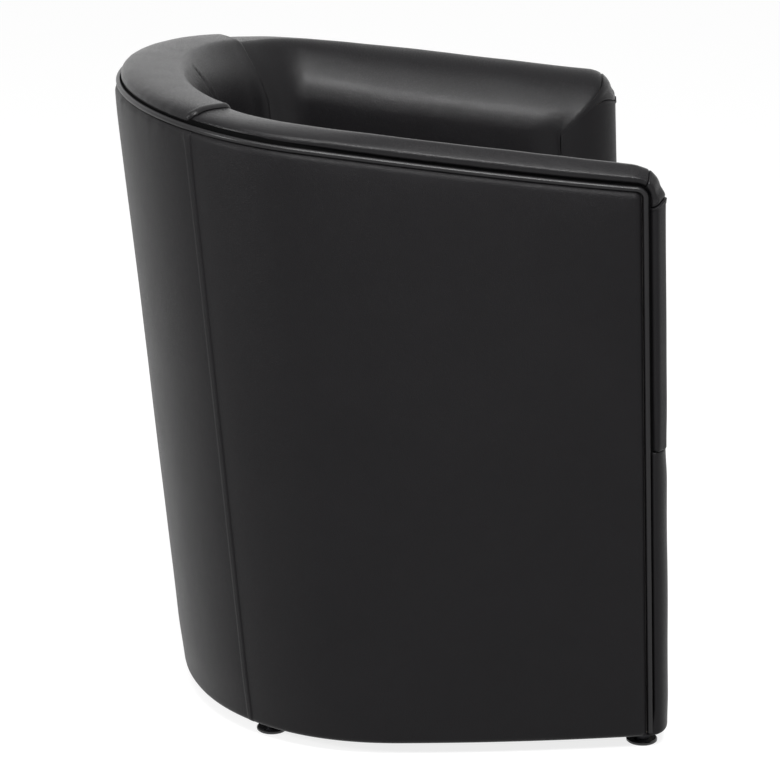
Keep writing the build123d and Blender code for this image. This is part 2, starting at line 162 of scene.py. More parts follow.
class Graph:
    """Node tree of one material."""

    def __init__(self, name: str) -> None:
        """Starts an empty material with a Principled shader."""
        self.material = bpy.data.materials.new(name)
        self.material.use_nodes = True
        self.tree = self.material.node_tree
        self.tree.nodes.clear()
        self.out = self.tree.nodes.new("ShaderNodeOutputMaterial")
        self.shader = self.tree.nodes.new("ShaderNodeBsdfPrincipled")
        self.tree.links.new(self.shader.outputs[0], self.out.inputs["Surface"])
        coordinates = self.tree.nodes.new("ShaderNodeTexCoord")
        self.place = Value(self, coordinates.outputs["Object"])

    def node(self, kind: str, settings: dict[str, Any], inputs: dict[Any, Any]) -> bpy.types.Node:
        """Adds one node.

        Args:
            kind: the node's type name.
            settings: attributes that are set first.
            inputs: numbers, colours or values by socket name or index.

        Returns:
            The new node.
        """
        made = self.tree.nodes.new(kind)
        for key, setting in settings.items():
            setattr(made, key, setting)
        for key, given in inputs.items():
            if isinstance(given, Value):
                self.tree.links.new(given.socket, made.inputs[key])
            else:
                made.inputs[key].default_value = given
        return made

    def noise(self, scale: float, detail: float = 3.0, rough: float = 0.5, place: Value | None = None) -> Value:
        """Noise over the object's own coordinates.

        Args:
            scale: cycles per metre.
            detail: octaves.
            rough: weight of the finer octaves.
            place: other coordinates to read.

        Returns:
            The noise from 0 to 1.
        """
        inputs = {"Vector": place or self.place, "Scale": scale, "Detail": detail, "Roughness": rough}
        return Value(self, self.node("ShaderNodeTexNoise", {}, inputs).outputs["Fac"])

    def cells(self, scale: float, feature: str, place: Value | None = None) -> Value:
        """Distance in a Voronoi pattern.

        Args:
            scale: cells per metre.
            feature: the pattern's feature.
            place: other coordinates to read.

        Returns:
            The distance.
        """
        inputs = {"Vector": place or self.place, "Scale": scale}
        return Value(self, self.node("ShaderNodeTexVoronoi", {"feature": feature}, inputs).outputs["Distance"])

    def stretched(self, scale: tuple[float, float, float]) -> Value:
        """Coordinates scaled by axis."""
        return Value(self, self.node("ShaderNodeMapping", {}, {"Vector": self.place, "Scale": scale}).outputs[0])

    def shade(self, low: Sequence[float], high: Sequence[float], share: Value) -> Value:
        """Mixes two colours.

        Args:
            low: colour at share 0.
            high: colour at share 1.
            share: the mixing value.

        Returns:
            The mixed colour.
        """
        node = self.node("ShaderNodeMix", {"data_type": "RGBA"}, {0: share, 6: (*low, 1.0), 7: (*high, 1.0)})
        return Value(self, node.outputs[2])

    def bump(self, height: Value, distance: float, strength: float) -> None:
        """Feeds a height into the shader's normal."""
        inputs = {"Height": height, "Distance": distance, "Strength": strength}
        made = self.node("ShaderNodeBump", {}, inputs)
        self.tree.links.new(made.outputs[0], self.shader.inputs["Normal"])

    def feed(self, **inputs: Any) -> bpy.types.Material:
        """Sets the shader's sockets by name, with underscores for spaces.

        Args:
            **inputs: numbers, colours or values.

        Returns:
            The finished material.
        """
        for key, given in inputs.items():
            socket = self.shader.inputs[key.replace("_", " ")]
            if isinstance(given, Value):
                self.tree.links.new(given.socket, socket)
            else:
                socket.default_value = given
        return self.material


# ---------------------------------------------------------------- finishes


@dataclass(frozen=True)
class Leather:
    """Grained leather finish."""

    name: str
    dark: tuple[float, float, float] = (0.0045, 0.0042, 0.0048)
    light: tuple[float, float, float] = (0.0085, 0.0080, 0.0088)
    grain: float = 760.0
    grain_depth: float = 0.00010
    roughness: float = 0.31
    level: float = 0.17
    crease: float = 0.35

    def material(self) -> bpy.types.Material:
        """Builds the leather with its grain, pores, creases and worn places."""
        graph = Graph(self.name)
        wander = graph.noise(55.0, 2.0)
        cells = graph.cells(self.grain, "DISTANCE_TO_EDGE").steps(0.0, 0.22)
        fine = graph.noise(2600.0, 2.0)
        pores = graph.cells(1500.0, "F1").steps(0.05, 0.30)
        creases = (graph.noise(34.0, 4.0, 0.62) - 0.5)._math("ABSOLUTE", graph.noise(34.0, 4.0, 0.62) - 0.5, 0.0)
        lines = creases.steps(0.0, 0.035)
        cloud = graph.noise(5.5, 3.0, 0.55)
        patch = graph.noise(17.0, 4.0, 0.6)
        scuff = graph.noise(150.0, 3.0, 0.6, graph.stretched((0.35, 1.0, 1.6))).steps(0.70, 0.86)
        worn = scuff * patch.steps(0.50, 0.70)
        tone = (cloud * 0.55 + patch * 0.35 + wander * 0.25 - 0.22).clamp()
        colour = graph.shade(self.dark, self.light, tone)
        pale = tuple(c * 2.6 for c in self.light)
        share = worn * 0.35
        mixed = graph.node("ShaderNodeMix", {"data_type": "RGBA"}, {0: share, 6: colour, 7: (*pale, 1.0)})
        height = cells * 0.62 + fine * 0.22 + pores * 0.24 + lines * self.crease
        graph.bump(height, self.grain_depth, 0.85)
        rough = (self.roughness + (cloud - 0.5) * 0.10 + (1.0 - cells) * 0.06 + worn * 0.10).clamp()
        return graph.feed(
            Base_Color=Value(graph, mixed.outputs[2]), Roughness=rough, Specular_IOR_Level=self.level, IOR=1.5
        )


@dataclass(frozen=True)
class Plain:
    """Finish of a hidden or rigid piece: two tones, a speckle and a fine relief."""

    name: str
    dark: tuple[float, float, float]
    light: tuple[float, float, float]
    scale: float = 90.0
    stretch: tuple[float, float, float] = (1.0, 1.0, 1.0)
    roughness: float = 0.6
    spread: float = 0.12
    relief: float = 0.0002
    metallic: float = 0.0

    def material(self) -> bpy.types.Material:
        """Builds the finish."""
        graph = Graph(self.name)
        place = graph.stretched(self.stretch)
        broad = graph.noise(self.scale * 0.15, 3.0, 0.5, place)
        fine = graph.noise(self.scale, 5.0, 0.6, place)
        colour = graph.shade(self.dark, self.light, (broad * 0.6 + fine * 0.5 - 0.05).clamp())
        graph.bump(fine, self.relief, 0.8)
        rough = (self.roughness + (fine - 0.5) * self.spread).clamp()
        return graph.feed(Base_Color=colour, Roughness=rough, Metallic=self.metallic)


FINISHES = {
    "black_leather": Leather("black_leather", roughness=0.37, grain_depth=0.00016, level=0.11),
    "seat_leather": Leather("seat_leather", roughness=0.235, grain_depth=0.00010, crease=0.45, level=0.165),
    "piping_leather": Leather("piping_leather", roughness=0.29, grain_depth=0.00004, crease=0.1, level=0.26),
    # Tape of the piping is a real strip, but it is coloured near black and made matte, far darker than the leather:
    # painted shade at the bottom of the gap beside the cord.
    "tape": Leather("tape", (0.0016, 0.0016, 0.0017), (0.0028, 0.0028, 0.0030), roughness=0.75, level=0.03),
    "thread": Plain("thread", (0.006, 0.006, 0.007), (0.02, 0.02, 0.022), 900.0, roughness=0.55),
    "foam": Plain("foam", (0.62, 0.58, 0.46), (0.74, 0.70, 0.58), 420.0, roughness=0.9, relief=0.0006),
    # Liner board: near-black card, a colour such card can have. It is this dark so that where the board shows in the
    # gaps behind the piping and covers it paints their shade.
    "liner_board": Plain("liner_board", (0.010, 0.009, 0.008), (0.020, 0.018, 0.016), 260.0, roughness=0.8),
    "elastic_webbing": Plain("elastic_webbing", (0.05, 0.05, 0.055), (0.16, 0.15, 0.14), 700.0, roughness=0.8),
    "dust_cloth": Plain("dust_cloth", (0.008, 0.008, 0.009), (0.028, 0.028, 0.030), 1300.0, roughness=0.9),
    "glide_plastic": Plain(
        "glide_plastic", (0.006, 0.006, 0.007), (0.014, 0.014, 0.015), 300.0, roughness=0.22, relief=0.00005
    ),
    "blackened_steel": Plain(
        "blackened_steel", (0.02, 0.02, 0.022), (0.05, 0.05, 0.054), 240.0, roughness=0.36, metallic=1.0
    ),
    "zinc_steel": Plain("zinc_steel", (0.52, 0.53, 0.55), (0.70, 0.71, 0.72), 180.0, roughness=0.3, metallic=1.0),
    "frame_timber": Plain(
        "frame_timber", (0.46, 0.30, 0.16), (0.68, 0.49, 0.29), 60.0, (1.0, 1.0, 0.08), 0.62, relief=0.0003
    ),
    "plywood": Plain("plywood", (0.50, 0.35, 0.20), (0.70, 0.53, 0.34), 70.0, (0.2, 1.0, 6.0), 0.6),
}


# ---------------------------------------------------------------- plan of the tub


@dataclass(frozen=True)
class PlanLine:
    """One outline of the tub's skin, half of it, from its front end to the middle of the back."""

    half: float
    front_half: float
    front: float
    arc: float
    back: float
    power: float
    seam_y: float

    def plan(self, p: np.ndarray, inset: np.ndarray | float = 0.0, extra: float = 0.0) -> tuple[np.ndarray, np.ndarray]:
        """Plan position on the outline or inside it.

        Args:
            p: 0 at the front end, 1 where the turn starts, 2 at the middle of the back.
            inset: distance inside the outline.
            extra: more distance at the back.

        Returns:
            X and Y.
        """
        p = np.asarray(p, float)
        run = np.minimum(p, 1.0)
        y = self.front + run * (self.arc - self.front)
        bow = (self.half - self.front_half) * (1.0 - run) ** 2
        turn = np.clip(p - 1.0, 0.0, 1.0) * math.pi / 2
        depth = self.back - self.arc - inset - extra
        x = (self.half - inset) * np.abs(np.cos(turn)) ** (2 / self.power) - bow
        y = y + depth * np.sin(turn) ** (2 / self.power)
        return x, y

    def table(self) -> tuple[np.ndarray, np.ndarray, float]:
        """Dense parameters with their length from the front, and the length at the seam."""
        p = np.linspace(0.0, 2.0, 1601)
        x, y = self.plan(p)
        length = np.concatenate([[0.0], np.cumsum(np.hypot(np.diff(x), np.diff(y)))])
        turning = p >= 1.0
        seam = float(np.interp(self.seam_y, y[turning], length[turning]))
        return p, length, seam


@dataclass
class TubPlan:
    """Skin of the tub: ruled between a level lower edge and the line of the piping."""

    top: PlanLine = PlanLine(0.3281, 0.3295, -0.2702, 0.1058, 0.3182, 2.027, 0.217)
    low: PlanLine = PlanLine(0.3186, 0.2989, -0.2953, -0.0103, 0.2528, 2.168, 0.160)
    floor_gap: float = 0.0186
    front_rise: float = 0.660
    rise: tuple[float, float, float] = (0.0813, 0.1276, -0.1001)
    reach: float = 0.965
    tables: dict[str, Any] = field(default_factory=dict)

    def __post_init__(self) -> None:
        """Works out the length tables of both outlines."""
        self.tables = {"top": self.top.table(), "low": self.low.table()}

    def piping_z(self, y: np.ndarray) -> np.ndarray:
        """Height of the piping line at y."""
        d = (np.asarray(y, float) - self.top.front) / self.reach
        return self.front_rise + self.reach * (self.rise[0] * d + self.rise[1] * d**2 + self.rise[2] * d**3)

    def slope(self, y: np.ndarray) -> np.ndarray:
        """Slope of the piping line at y."""
        d = (np.asarray(y, float) - self.top.front) / self.reach
        return self.rise[0] + 2 * self.rise[1] * d + 3 * self.rise[2] * d**2

    def param(self, line: str, q: np.ndarray) -> np.ndarray:
        """Outline parameter of a station.

        Args:
            line: "top" or "low".
            q: 0 at the front, 1 at the seam, 2 at the middle of the back, by length in between.

        Returns:
            The parameter.
        """
        p, length, seam = self.tables[line]
        q = np.asarray(q, float)
        total = length[-1]
        wanted = np.where(q <= 1.0, q * seam, seam + (q - 1.0) * (total - seam))
        return np.interp(wanted, length, p)

    def length(self, line: str, back: bool) -> float:
        """Length of an outline from front to seam, or from seam to the middle of the back."""
        _, length, seam = self.tables[line]
        return float(length[-1] - seam) if back else seam

    def on_top(self, q: np.ndarray, inset: Any = 0.0, above: Any = 0.0, extra: float = 0.0) -> np.ndarray:
        """Points on the sloping surface of the piping line, or above it along its normal."""
        x, y = self.top.plan(self.param("top", q), inset, extra)
        angle = np.arctan(self.slope(y))
        z = self.piping_z(y) + above * np.cos(angle)
        return np.stack(np.broadcast_arrays(x, y - above * np.sin(angle), z), axis=-1)

    def on_low(self, q: np.ndarray, inset: Any = 0.0, extra: float = 0.0) -> np.ndarray:
        """Points on the level of the lower edge."""
        x, y = self.low.plan(self.param("low", q), inset, extra)
        return np.stack(np.broadcast_arrays(x, y, np.full_like(x, self.floor_gap)), axis=-1)

    def wall(self, q: np.ndarray, t: np.ndarray, inset: Any = 0.0, extra: float = 0.0) -> np.ndarray:
        """Points on the ruled wall, t from 0 at the lower edge to 1 at the piping line."""
        low, top = self.on_low(q, inset, extra), self.on_top(q, inset, 0.0, extra)
        t = np.asarray(t, float)[..., None]
        return low + (top - low) * t

    def wall_length(self, q: np.ndarray, inset: Any = 0.0, extra: float = 0.0) -> np.ndarray:
        """Length of the ruled line at a station."""
        return np.linalg.norm(self.on_top(q, inset, 0.0, extra) - self.on_low(q, inset, extra), axis=-1)

    def outward(self, q: np.ndarray, t: np.ndarray) -> np.ndarray:
        """Unit normals of the wall, pointing out."""
        step = 1e-3
        along = self.wall(np.clip(q + step, 0, 2), t) - self.wall(np.clip(q - step, 0, 2), t)
        up = self.wall(q, t + step) - self.wall(q, t - step)
        normal = np.cross(along, up)
        normal /= np.linalg.norm(normal, axis=-1, keepdims=True)
        middle = self.wall(q, t)
        flip = np.sign(np.sum(normal * (middle - np.array([0.0, -0.02, 0.0])) * np.array([1.0, 1.0, 0.0]), axis=-1))
        return normal * flip[..., None]


@dataclass(frozen=True)
class ArmCorner:
    """Rounded corner of the arm in side view, between the rim's line and the front line."""

    plan: TubPlan
    piping_radius: float = 0.010
    rise: float = 0.0236
    wrap: float = 0.052
    tight: float = 0.0015
    crest_radius: float = 0.040
    over: tuple[float, float] = (0.45, 0.33)

    @property
    def axes(self) -> tuple[np.ndarray, np.ndarray, np.ndarray, np.ndarray]:
        """Corner point, normals of the rim's line and of the front line, and the way down the front, in (y, z)."""
        angle = math.atan(float(self.plan.slope(self.plan.top.front)))
        corner = np.array([self.plan.top.front, self.plan.front_rise])
        down = np.array([self.plan.low.front - self.plan.top.front, self.plan.floor_gap - self.plan.front_rise])
        down /= np.linalg.norm(down)
        return corner, np.array([-math.sin(angle), math.cos(angle)]), np.array([down[1], -down[0]]), down

    def radius(self, h: np.ndarray, inner: np.ndarray) -> np.ndarray:
        """Corner radius at height h over the base lines, on the outer or the inner slope."""
        share = np.clip((h + self.wrap) / (self.rise + self.wrap), 0.0, 1.0)
        rounded = self.tight + (self.crest_radius - self.tight) * share**4
        open_out = self.piping_radius + (self.crest_radius - self.piping_radius) * h / self.rise
        return np.where(inner, rounded, open_out)

    def at(self, h: np.ndarray, turn: np.ndarray, inner: np.ndarray) -> np.ndarray:
        """Points (y, z) of the corner.

        Args:
            h: height over the base lines.
            turn: 0 where the corner leaves the rim's line, 1 where it joins the front line.
            inner: whether the point lies on the inner slope.

        Returns:
            The points.
        """
        corner, up, ahead, _ = self.axes
        spread = (up + ahead) / (1.0 + float(up @ ahead))
        r = self.radius(h, inner)
        angle = math.acos(float(up @ ahead))
        first = np.sin((1 - turn) * angle) / math.sin(angle)
        second = np.sin(turn * angle) / math.sin(angle)
        normal = first[..., None] * up + second[..., None] * ahead
        return corner + (h - r)[..., None] * spread + r[..., None] * normal

    def arc(self, h: np.ndarray, inner: np.ndarray) -> np.ndarray:
        """Length of the corner at each height."""
        _, up, ahead, _ = self.axes
        return self.radius(h, inner) * math.acos(float(up @ ahead))

    def mitre(self, h: np.ndarray, inner: np.ndarray) -> np.ndarray:
        """Length round the corner at which the rim's cover meets the cap."""
        share = np.clip(h / self.rise, 0.0, 1.0)
        return (self.over[0] + (self.over[1] - self.over[0]) * share) * self.arc(h, inner)

    def half_width(self, z: np.ndarray) -> np.ndarray:
        """Half width of the front line at height z."""
        share = (z - self.plan.floor_gap) / (self.plan.front_rise - self.plan.floor_gap)
        return self.plan.low.front_half + share * (self.plan.top.front_half - self.plan.low.front_half)

    def along(self, inset: np.ndarray, h: np.ndarray, inner: np.ndarray, run: np.ndarray) -> np.ndarray:
        """Points at a length round the corner and on down the front line.

        Args:
            inset: distance inside the tub's skin.
            h: height over the base lines.
            inner: whether the point lies on the inner slope.
            run: length from where the corner leaves the rim's line.

        Returns:
            The points, on the right-hand arm.
        """
        arc = self.arc(h, inner)
        yz = self.at(h, np.clip(run / np.maximum(arc, 1e-9), 0.0, 1.0), inner)
        yz = yz + np.clip(run - arc, 0.0, None)[..., None] * self.axes[3]
        return np.stack([self.half_width(yz[..., 1]) - inset, yz[..., 0], yz[..., 1]], axis=-1)

    def lead(self, h: np.ndarray, inner: np.ndarray) -> np.ndarray:
        """How far behind the front line the corner leaves the rim's line, measured in plan."""
        corner, up, _, down = self.axes
        start = self.at(h, np.zeros_like(h), inner)
        angle = math.asin(-up[0])
        above = start[..., 0] + h * math.sin(angle) - corner[0]
        below = start[..., 0] - (corner[0] + np.abs(h) * down[0])
        return np.where(h >= 0, above, below)


# ---------------------------------------------------------------- mesh helpers


def smooth(share: np.ndarray | float) -> np.ndarray:
    """Smooth step of a share that is first kept between 0 and 1."""
    s = np.clip(share, 0.0, 1.0)
    return s * s * (3 - 2 * s)


def rolled(edge: np.ndarray, radius: float, depth: float) -> np.ndarray:
    """How far a cover's edge turns in at a distance from that edge."""
    near = np.clip(1.0 - edge / radius, 0.0, 1.0)
    return depth * (1.0 - np.sqrt(1.0 - near**2))


def sewn(edge: np.ndarray, roll: float, depth: float, ridge: float = 0.0) -> np.ndarray:
    """Profile of a cover beside a seam.

    Args:
        edge: distance from the seam.
        roll: how far from the seam the cover turns in.
        depth: how deep it turns in.
        ridge: height of the fold beside the seam.

    Returns:
        The offset along the cover's normal.
    """
    return ridge * np.exp(-(((edge - 1.4 * roll) / (1.1 * roll)) ** 2)) - rolled(edge, roll, depth)


def ripple(points: np.ndarray, size: Sequence[float], seed: float) -> np.ndarray:
    """Smooth noise at points.

    Args:
        points: positions in metres, last axis of three.
        size: wave length by axis, in metres.
        seed: offset that picks the pattern.

    Returns:
        Values around zero, of the points' shape without the last axis.
    """
    scaled = points / np.asarray(size) + seed
    flat = scaled.reshape(-1, 3)
    values = np.fromiter((noise.noise(Vector(p)) for p in flat), float, len(flat))
    return values.reshape(points.shape[:-1])


def marks(length: float, step: float, start: Sequence[float], end: Sequence[float]) -> np.ndarray:
    """Distances from 0 to length, close together at both ends.

    Args:
        length: whole length.
        step: usual spacing.
        start: first distances.
        end: last distances, measured from the end.

    Returns:
        The distances, rising.
    """
    low, high = np.array(start), length - np.array(end)[::-1]
    count = max(2, int(round((high[0] - low[-1]) / step)))
    return np.concatenate([low, np.linspace(low[-1], high[0], count + 1)[1:-1], high])


def curve(points: Sequence[tuple[float, float]], shares: np.ndarray) -> np.ndarray:
    """Smooth line through points.

    Args:
        points: the points, in order.
        shares: shares of the line's length, from 0 to 1.

    Returns:
        (count, 2) positions at the shares.
    """
    p = np.array(points)
    p = np.concatenate([2 * p[:1] - p[1:2], p, 2 * p[-1:] - p[-2:-1]])
    t = np.linspace(0.0, 1.0, 16, endpoint=False)[:, None]
    runs = []
    for a, b, c, d in zip(p, p[1:], p[2:], p[3:]):
        runs.append(b + 0.5 * t * (c - a + t * (2 * a - 5 * b + 4 * c - d + t * (3 * (b - c) + d - a))))
    dense = np.concatenate([*runs, p[-2:-1]])
    length = np.concatenate([[0.0], np.cumsum(np.linalg.norm(np.diff(dense, axis=0), axis=1))])
    return np.stack([np.interp(shares * length[-1], length, dense[:, k]) for k in (0, 1)], axis=-1)


FINE = [d * MM for d in (0.0, 0.12, 0.35, 0.7, 1.15, 1.7, 2.4, 3.2, 4.1, 5.2, 6.4, 7.8, 9.6, 12.0)]


def select_none() -> None:
    """Leaves edit mode and deselects everything."""
    if bpy.context.mode != "OBJECT":
        bpy.ops.object.mode_set(mode="OBJECT")
    bpy.ops.object.select_all(action="DESELECT")


def hold(piece: bpy.types.Object) -> None:
    """Makes a piece the only selected and the active one."""
    select_none()
    piece.select_set(True)
    bpy.context.view_layer.objects.active = piece


def in_edit(piece: bpy.types.Object, work: Callable[[], None]) -> None:
    """Runs operators on a whole mesh in edit mode."""
    hold(piece)
    bpy.ops.object.mode_set(mode="EDIT")
    bpy.ops.mesh.select_all(action="SELECT")
    work()
    bpy.ops.object.mode_set(mode="OBJECT")


def finish_with(piece: bpy.types.Object, kind: str, **settings: Any) -> None:
    """Adds one modifier and applies it.

    Args:
        piece: the object.
        kind: the modifier's type.
        **settings: its settings.
    """
    hold(piece)
    modifier = piece.modifiers.new(kind.title(), kind)
    for key, setting in settings.items():
        setattr(modifier, key, setting)
    bpy.ops.object.modifier_apply(modifier=modifier.name)


def draped(name: str, points: np.ndarray, flip: bool, thickness: float) -> bpy.types.Object:
    """Cover made from a grid that is laid over points.

    Args:
        name: the piece's name.
        points: (rows, columns, 3) positions.
        flip: whether the grid's faces have to be turned.
        thickness: the cover's thickness, inwards.

    Returns:
        The piece.
    """
    rows, columns = points.shape[:2]
    select_none()
    bpy.ops.mesh.primitive_grid_add(x_subdivisions=columns - 1, y_subdivisions=rows - 1, size=1.0)
    piece = bpy.context.object
    piece.name = piece.data.name = name
    piece.data.vertices.foreach_set("co", np.ascontiguousarray(points, dtype=np.float32).ravel())
    piece.data.update()
    if flip:
        in_edit(piece, lambda: bpy.ops.mesh.flip_normals())
    if thickness:
        finish_with(piece, "SOLIDIFY", thickness=thickness, offset=-1.0, use_even_offset=False, use_rim=True)
    hold(piece)
    bpy.ops.object.shade_smooth_by_angle(angle=math.radians(50))
    return piece


def swept(name: str, path: np.ndarray, outward: np.ndarray, sections: np.ndarray) -> bpy.types.Object:
    """Closed form that carries a section along a path, started from a grid.

    Args:
        name: the piece's name.
        path: (count, 3) points.
        outward: (count, 3) directions of the section's first axis.
        sections: (count, corners, 2) closed sections.

    Returns:
        The piece.
    """
    tangent = np.gradient(path, axis=0)
    tangent /= np.linalg.norm(tangent, axis=1, keepdims=True)
    first = outward - tangent * np.sum(outward * tangent, axis=1, keepdims=True)
    first /= np.linalg.norm(first, axis=1, keepdims=True)
    second = np.cross(tangent, first)
    rings = path[:, None] + sections[..., :1] * first[:, None] + sections[..., 1:] * second[:, None]
    rings = np.concatenate([rings, rings[:, :1]], axis=1)
    select_none()
    bpy.ops.mesh.primitive_grid_add(x_subdivisions=rings.shape[1] - 1, y_subdivisions=len(path) - 1, size=1.0)
    piece = bpy.context.object
    piece.name = piece.data.name = name
    piece.data.vertices.foreach_set("co", np.ascontiguousarray(rings, dtype=np.float32).ravel())
    piece.data.update()

    def close() -> None:
        """Closes the seam and the ends."""
        bpy.ops.mesh.remove_doubles(threshold=1e-6)
        bpy.ops.mesh.select_all(action="SELECT")
        bpy.ops.mesh.fill_holes(sides=0)
        bpy.ops.mesh.select_all(action="SELECT")
        bpy.ops.mesh.normals_make_consistent(inside=False)

    in_edit(piece, close)
    hold(piece)
    bpy.ops.object.shade_smooth_by_angle(angle=math.radians(50))
    return piece


def settle(
    piece: bpy.types.Object, finish: str, nodes: Sequence[str] = ()
) -> bpy.types.Object:
    """Gives a finished piece its body and the material of its finish, and hides the CAD nodes that it stands for.

    Args:
        piece: the object.
        finish: key of the finish.
        nodes: replaced CAD nodes.

    Returns:
        The same piece.
    """
    piece.data.materials.clear()
    piece.data.materials.append(MATERIALS[finish])
    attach(piece, TUB)
    if nodes:
        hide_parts(*nodes)
    LOG.info("%s: %d faces", piece.name, len(piece.data.polygons))
    return piece


MATERIALS: dict[str, bpy.types.Material] = {}


# ---------------------------------------------------------------- outside panels


@dataclass
class OutsidePanels:
    """Leather panels of the outside: two sides and the back."""

    plan: TubPlan
    gap: float = 3.3 * MM
    front_gap: float = 5.0 * MM
    roll: float = 6.5 * MM
    sink: float = 5.0 * MM
    corner: float = 10.0 * MM
    swell: float = 3.4 * MM
    swell_run: float = 18.0 * MM
    pucker: float = 1.0 * MM
    hem_radius: float = 5.0 * MM
    hem: float = 15.0 * MM
    lap: float = 5.2 * MM
    lap_height: float = 1.15 * MM
    thickness: float = 1.8 * MM

    def rows(self, span: float) -> tuple[np.ndarray, np.ndarray, np.ndarray]:
        """Rows of a panel: distance up the wall, distance in under the hem, and drop of the hem's round."""
        angles = np.radians([90, 68, 45, 22])
        under = [self.hem, self.hem * 0.6, self.hem_radius + 1.5 * MM]
        flat = [(self.hem_radius, run, self.hem_radius) for run in under]
        turn = [
            (self.hem_radius, self.hem_radius * (1 - math.cos(a)), self.hem_radius * math.sin(a)) for a in angles
        ]
        top = [d for d in FINE] + [d * MM for d in (15, 18.5, 22.5, 27, 32, 38, 46)]
        up = marks(span - self.hem_radius - self.gap, 14 * MM, [0.0, 3 * MM, 8 * MM], top) + self.hem_radius
        table = flat + turn + [(height, 0.0, 0.0) for height in up]
        rows = np.array(table)
        return rows[:, 0], rows[:, 1], rows[:, 2]

    def puckers(self, base: np.ndarray, down: np.ndarray) -> np.ndarray:
        """Small gathers where a panel is sewn to the piping."""
        close = np.exp(-down / (9 * MM)) * smooth(down / (2.5 * MM))
        flat = base * np.array([1.0, 1.0, 0.25])
        narrow = ripple(flat, (11 * MM, 11 * MM, 60 * MM), 3.7)
        wide = ripple(flat, (34 * MM, 34 * MM, 90 * MM), 9.1)
        return self.pucker * close * (narrow * 1.0 + wide * 1.3)

    def soft(self, base: np.ndarray) -> np.ndarray:
        """Very shallow unevenness of leather drawn over board."""
        return 0.55 * MM * ripple(base, (0.16, 0.16, 0.22), 5.3) + 0.16 * MM * ripple(base, (0.045, 0.045, 0.06), 1.9)

    def surface(
        self, q: np.ndarray, side: np.ndarray, front: np.ndarray | None, seam: np.ndarray, lapped: bool
    ) -> np.ndarray:
        """Points of one panel.

        Args:
            q: stations of the columns.
            side: sign of X of the columns.
            front: distances of the columns behind the front line, or None on the back panel.
            seam: distances of the columns from the nearest seam.
            lapped: whether this panel's edge lies on top at the seam.

        Returns:
            (rows, columns, 3) positions.
        """
        span = self.plan.wall_length(q)
        up, inward, drop = self.rows(float(span.mean()))
        share = (up - self.hem_radius) / (up[-1] - self.hem_radius)
        height = self.hem_radius + share[:, None] * (span - self.gap - self.hem_radius)[None, :]
        t = height / span[None, :]
        grid_q = np.broadcast_to(q, t.shape)
        base = self.plan.wall(grid_q, t)
        normal = self.plan.outward(grid_q, t)
        down = span[None, :] - height
        edge = down.copy()
        if front is not None:
            ahead = np.broadcast_to(front, t.shape)
            ahead = ahead - (self.front_gap - self.gap)
            a, b = np.minimum(down, self.corner), np.minimum(ahead, self.corner)
            round_edge = self.corner - np.hypot(self.corner - a, self.corner - b)
            edge = np.where((down < self.corner) & (ahead < self.corner), round_edge, np.minimum(down, ahead))
        edge = np.clip(edge - self.gap, 0.0, None)
        offset = -rolled(edge, self.roll, self.sink)
        lower = smooth(height / (60 * MM))
        swell = (1 - np.exp(-edge / self.swell_run)) * (0.45 + 0.55 * np.exp(-down / (95 * MM)))
        signed = base * np.stack([side, np.ones_like(side), np.ones_like(side)], axis=-1)
        near_seam = np.broadcast_to(seam, t.shape)
        swell = swell * (1 - 0.45 * np.exp(-near_seam / (14 * MM))) * lower
        offset += self.swell * swell + self.puckers(signed, edge) + self.soft(signed) * lower
        if lapped:
            band = self.lap * (1 + 0.9 * np.exp(-down / (16 * MM)))
            ridge = 1 - smooth((near_seam - band) / (2.2 * MM))
            offset += self.lap_height * ridge * smooth(height / (9 * MM)) - rolled(near_seam, 1.1 * MM, 1.5 * MM)
        else:
            offset -= rolled(near_seam, 2.0 * MM, 1.5 * MM)
        level = normal * np.array([1.0, 1.0, 0.0])
        level /= np.linalg.norm(level, axis=-1, keepdims=True)
        points = base + normal * offset[..., None]
        points -= level * inward[:, None, None]
        points[..., 2] -= drop[:, None]
        points[..., 0] *= side
        return points

    def build(self) -> None:
        """Builds the three panels."""
        length = self.plan.length("top", False)
        behind = marks(length - self.front_gap - 0.15 * MM, 4.2 * MM, FINE, FINE[:11]) + self.front_gap
        for side in Side:
            seam = length - 0.15 * MM - behind + 0.02 * MM
            points = self.surface(behind / length, np.full(len(behind), side.value), behind, seam, False)
            piece = draped(f"outside_side_{side.word}", points, side is Side.RIGHT, self.thickness)
            settle(piece, "black_leather", [f"outer_cover_{side.word}"])
        half = self.plan.length("top", True)
        run = marks(2 * half - 0.3 * MM, 4.2 * MM, FINE[:13], FINE[:13]) + 0.15 * MM
        station = 1.0 + np.where(run < half, run, 2 * half - run) / half
        side_sign = np.where(run < half, -1.0, 1.0)
        points = self.surface(station, side_sign, None, np.minimum(run, 2 * half - run), True)
        piece = draped("outside_back", points, False, self.thickness)
        settle(piece, "black_leather", ["outer_cover_back"])


# ---------------------------------------------------------------- rim and inside


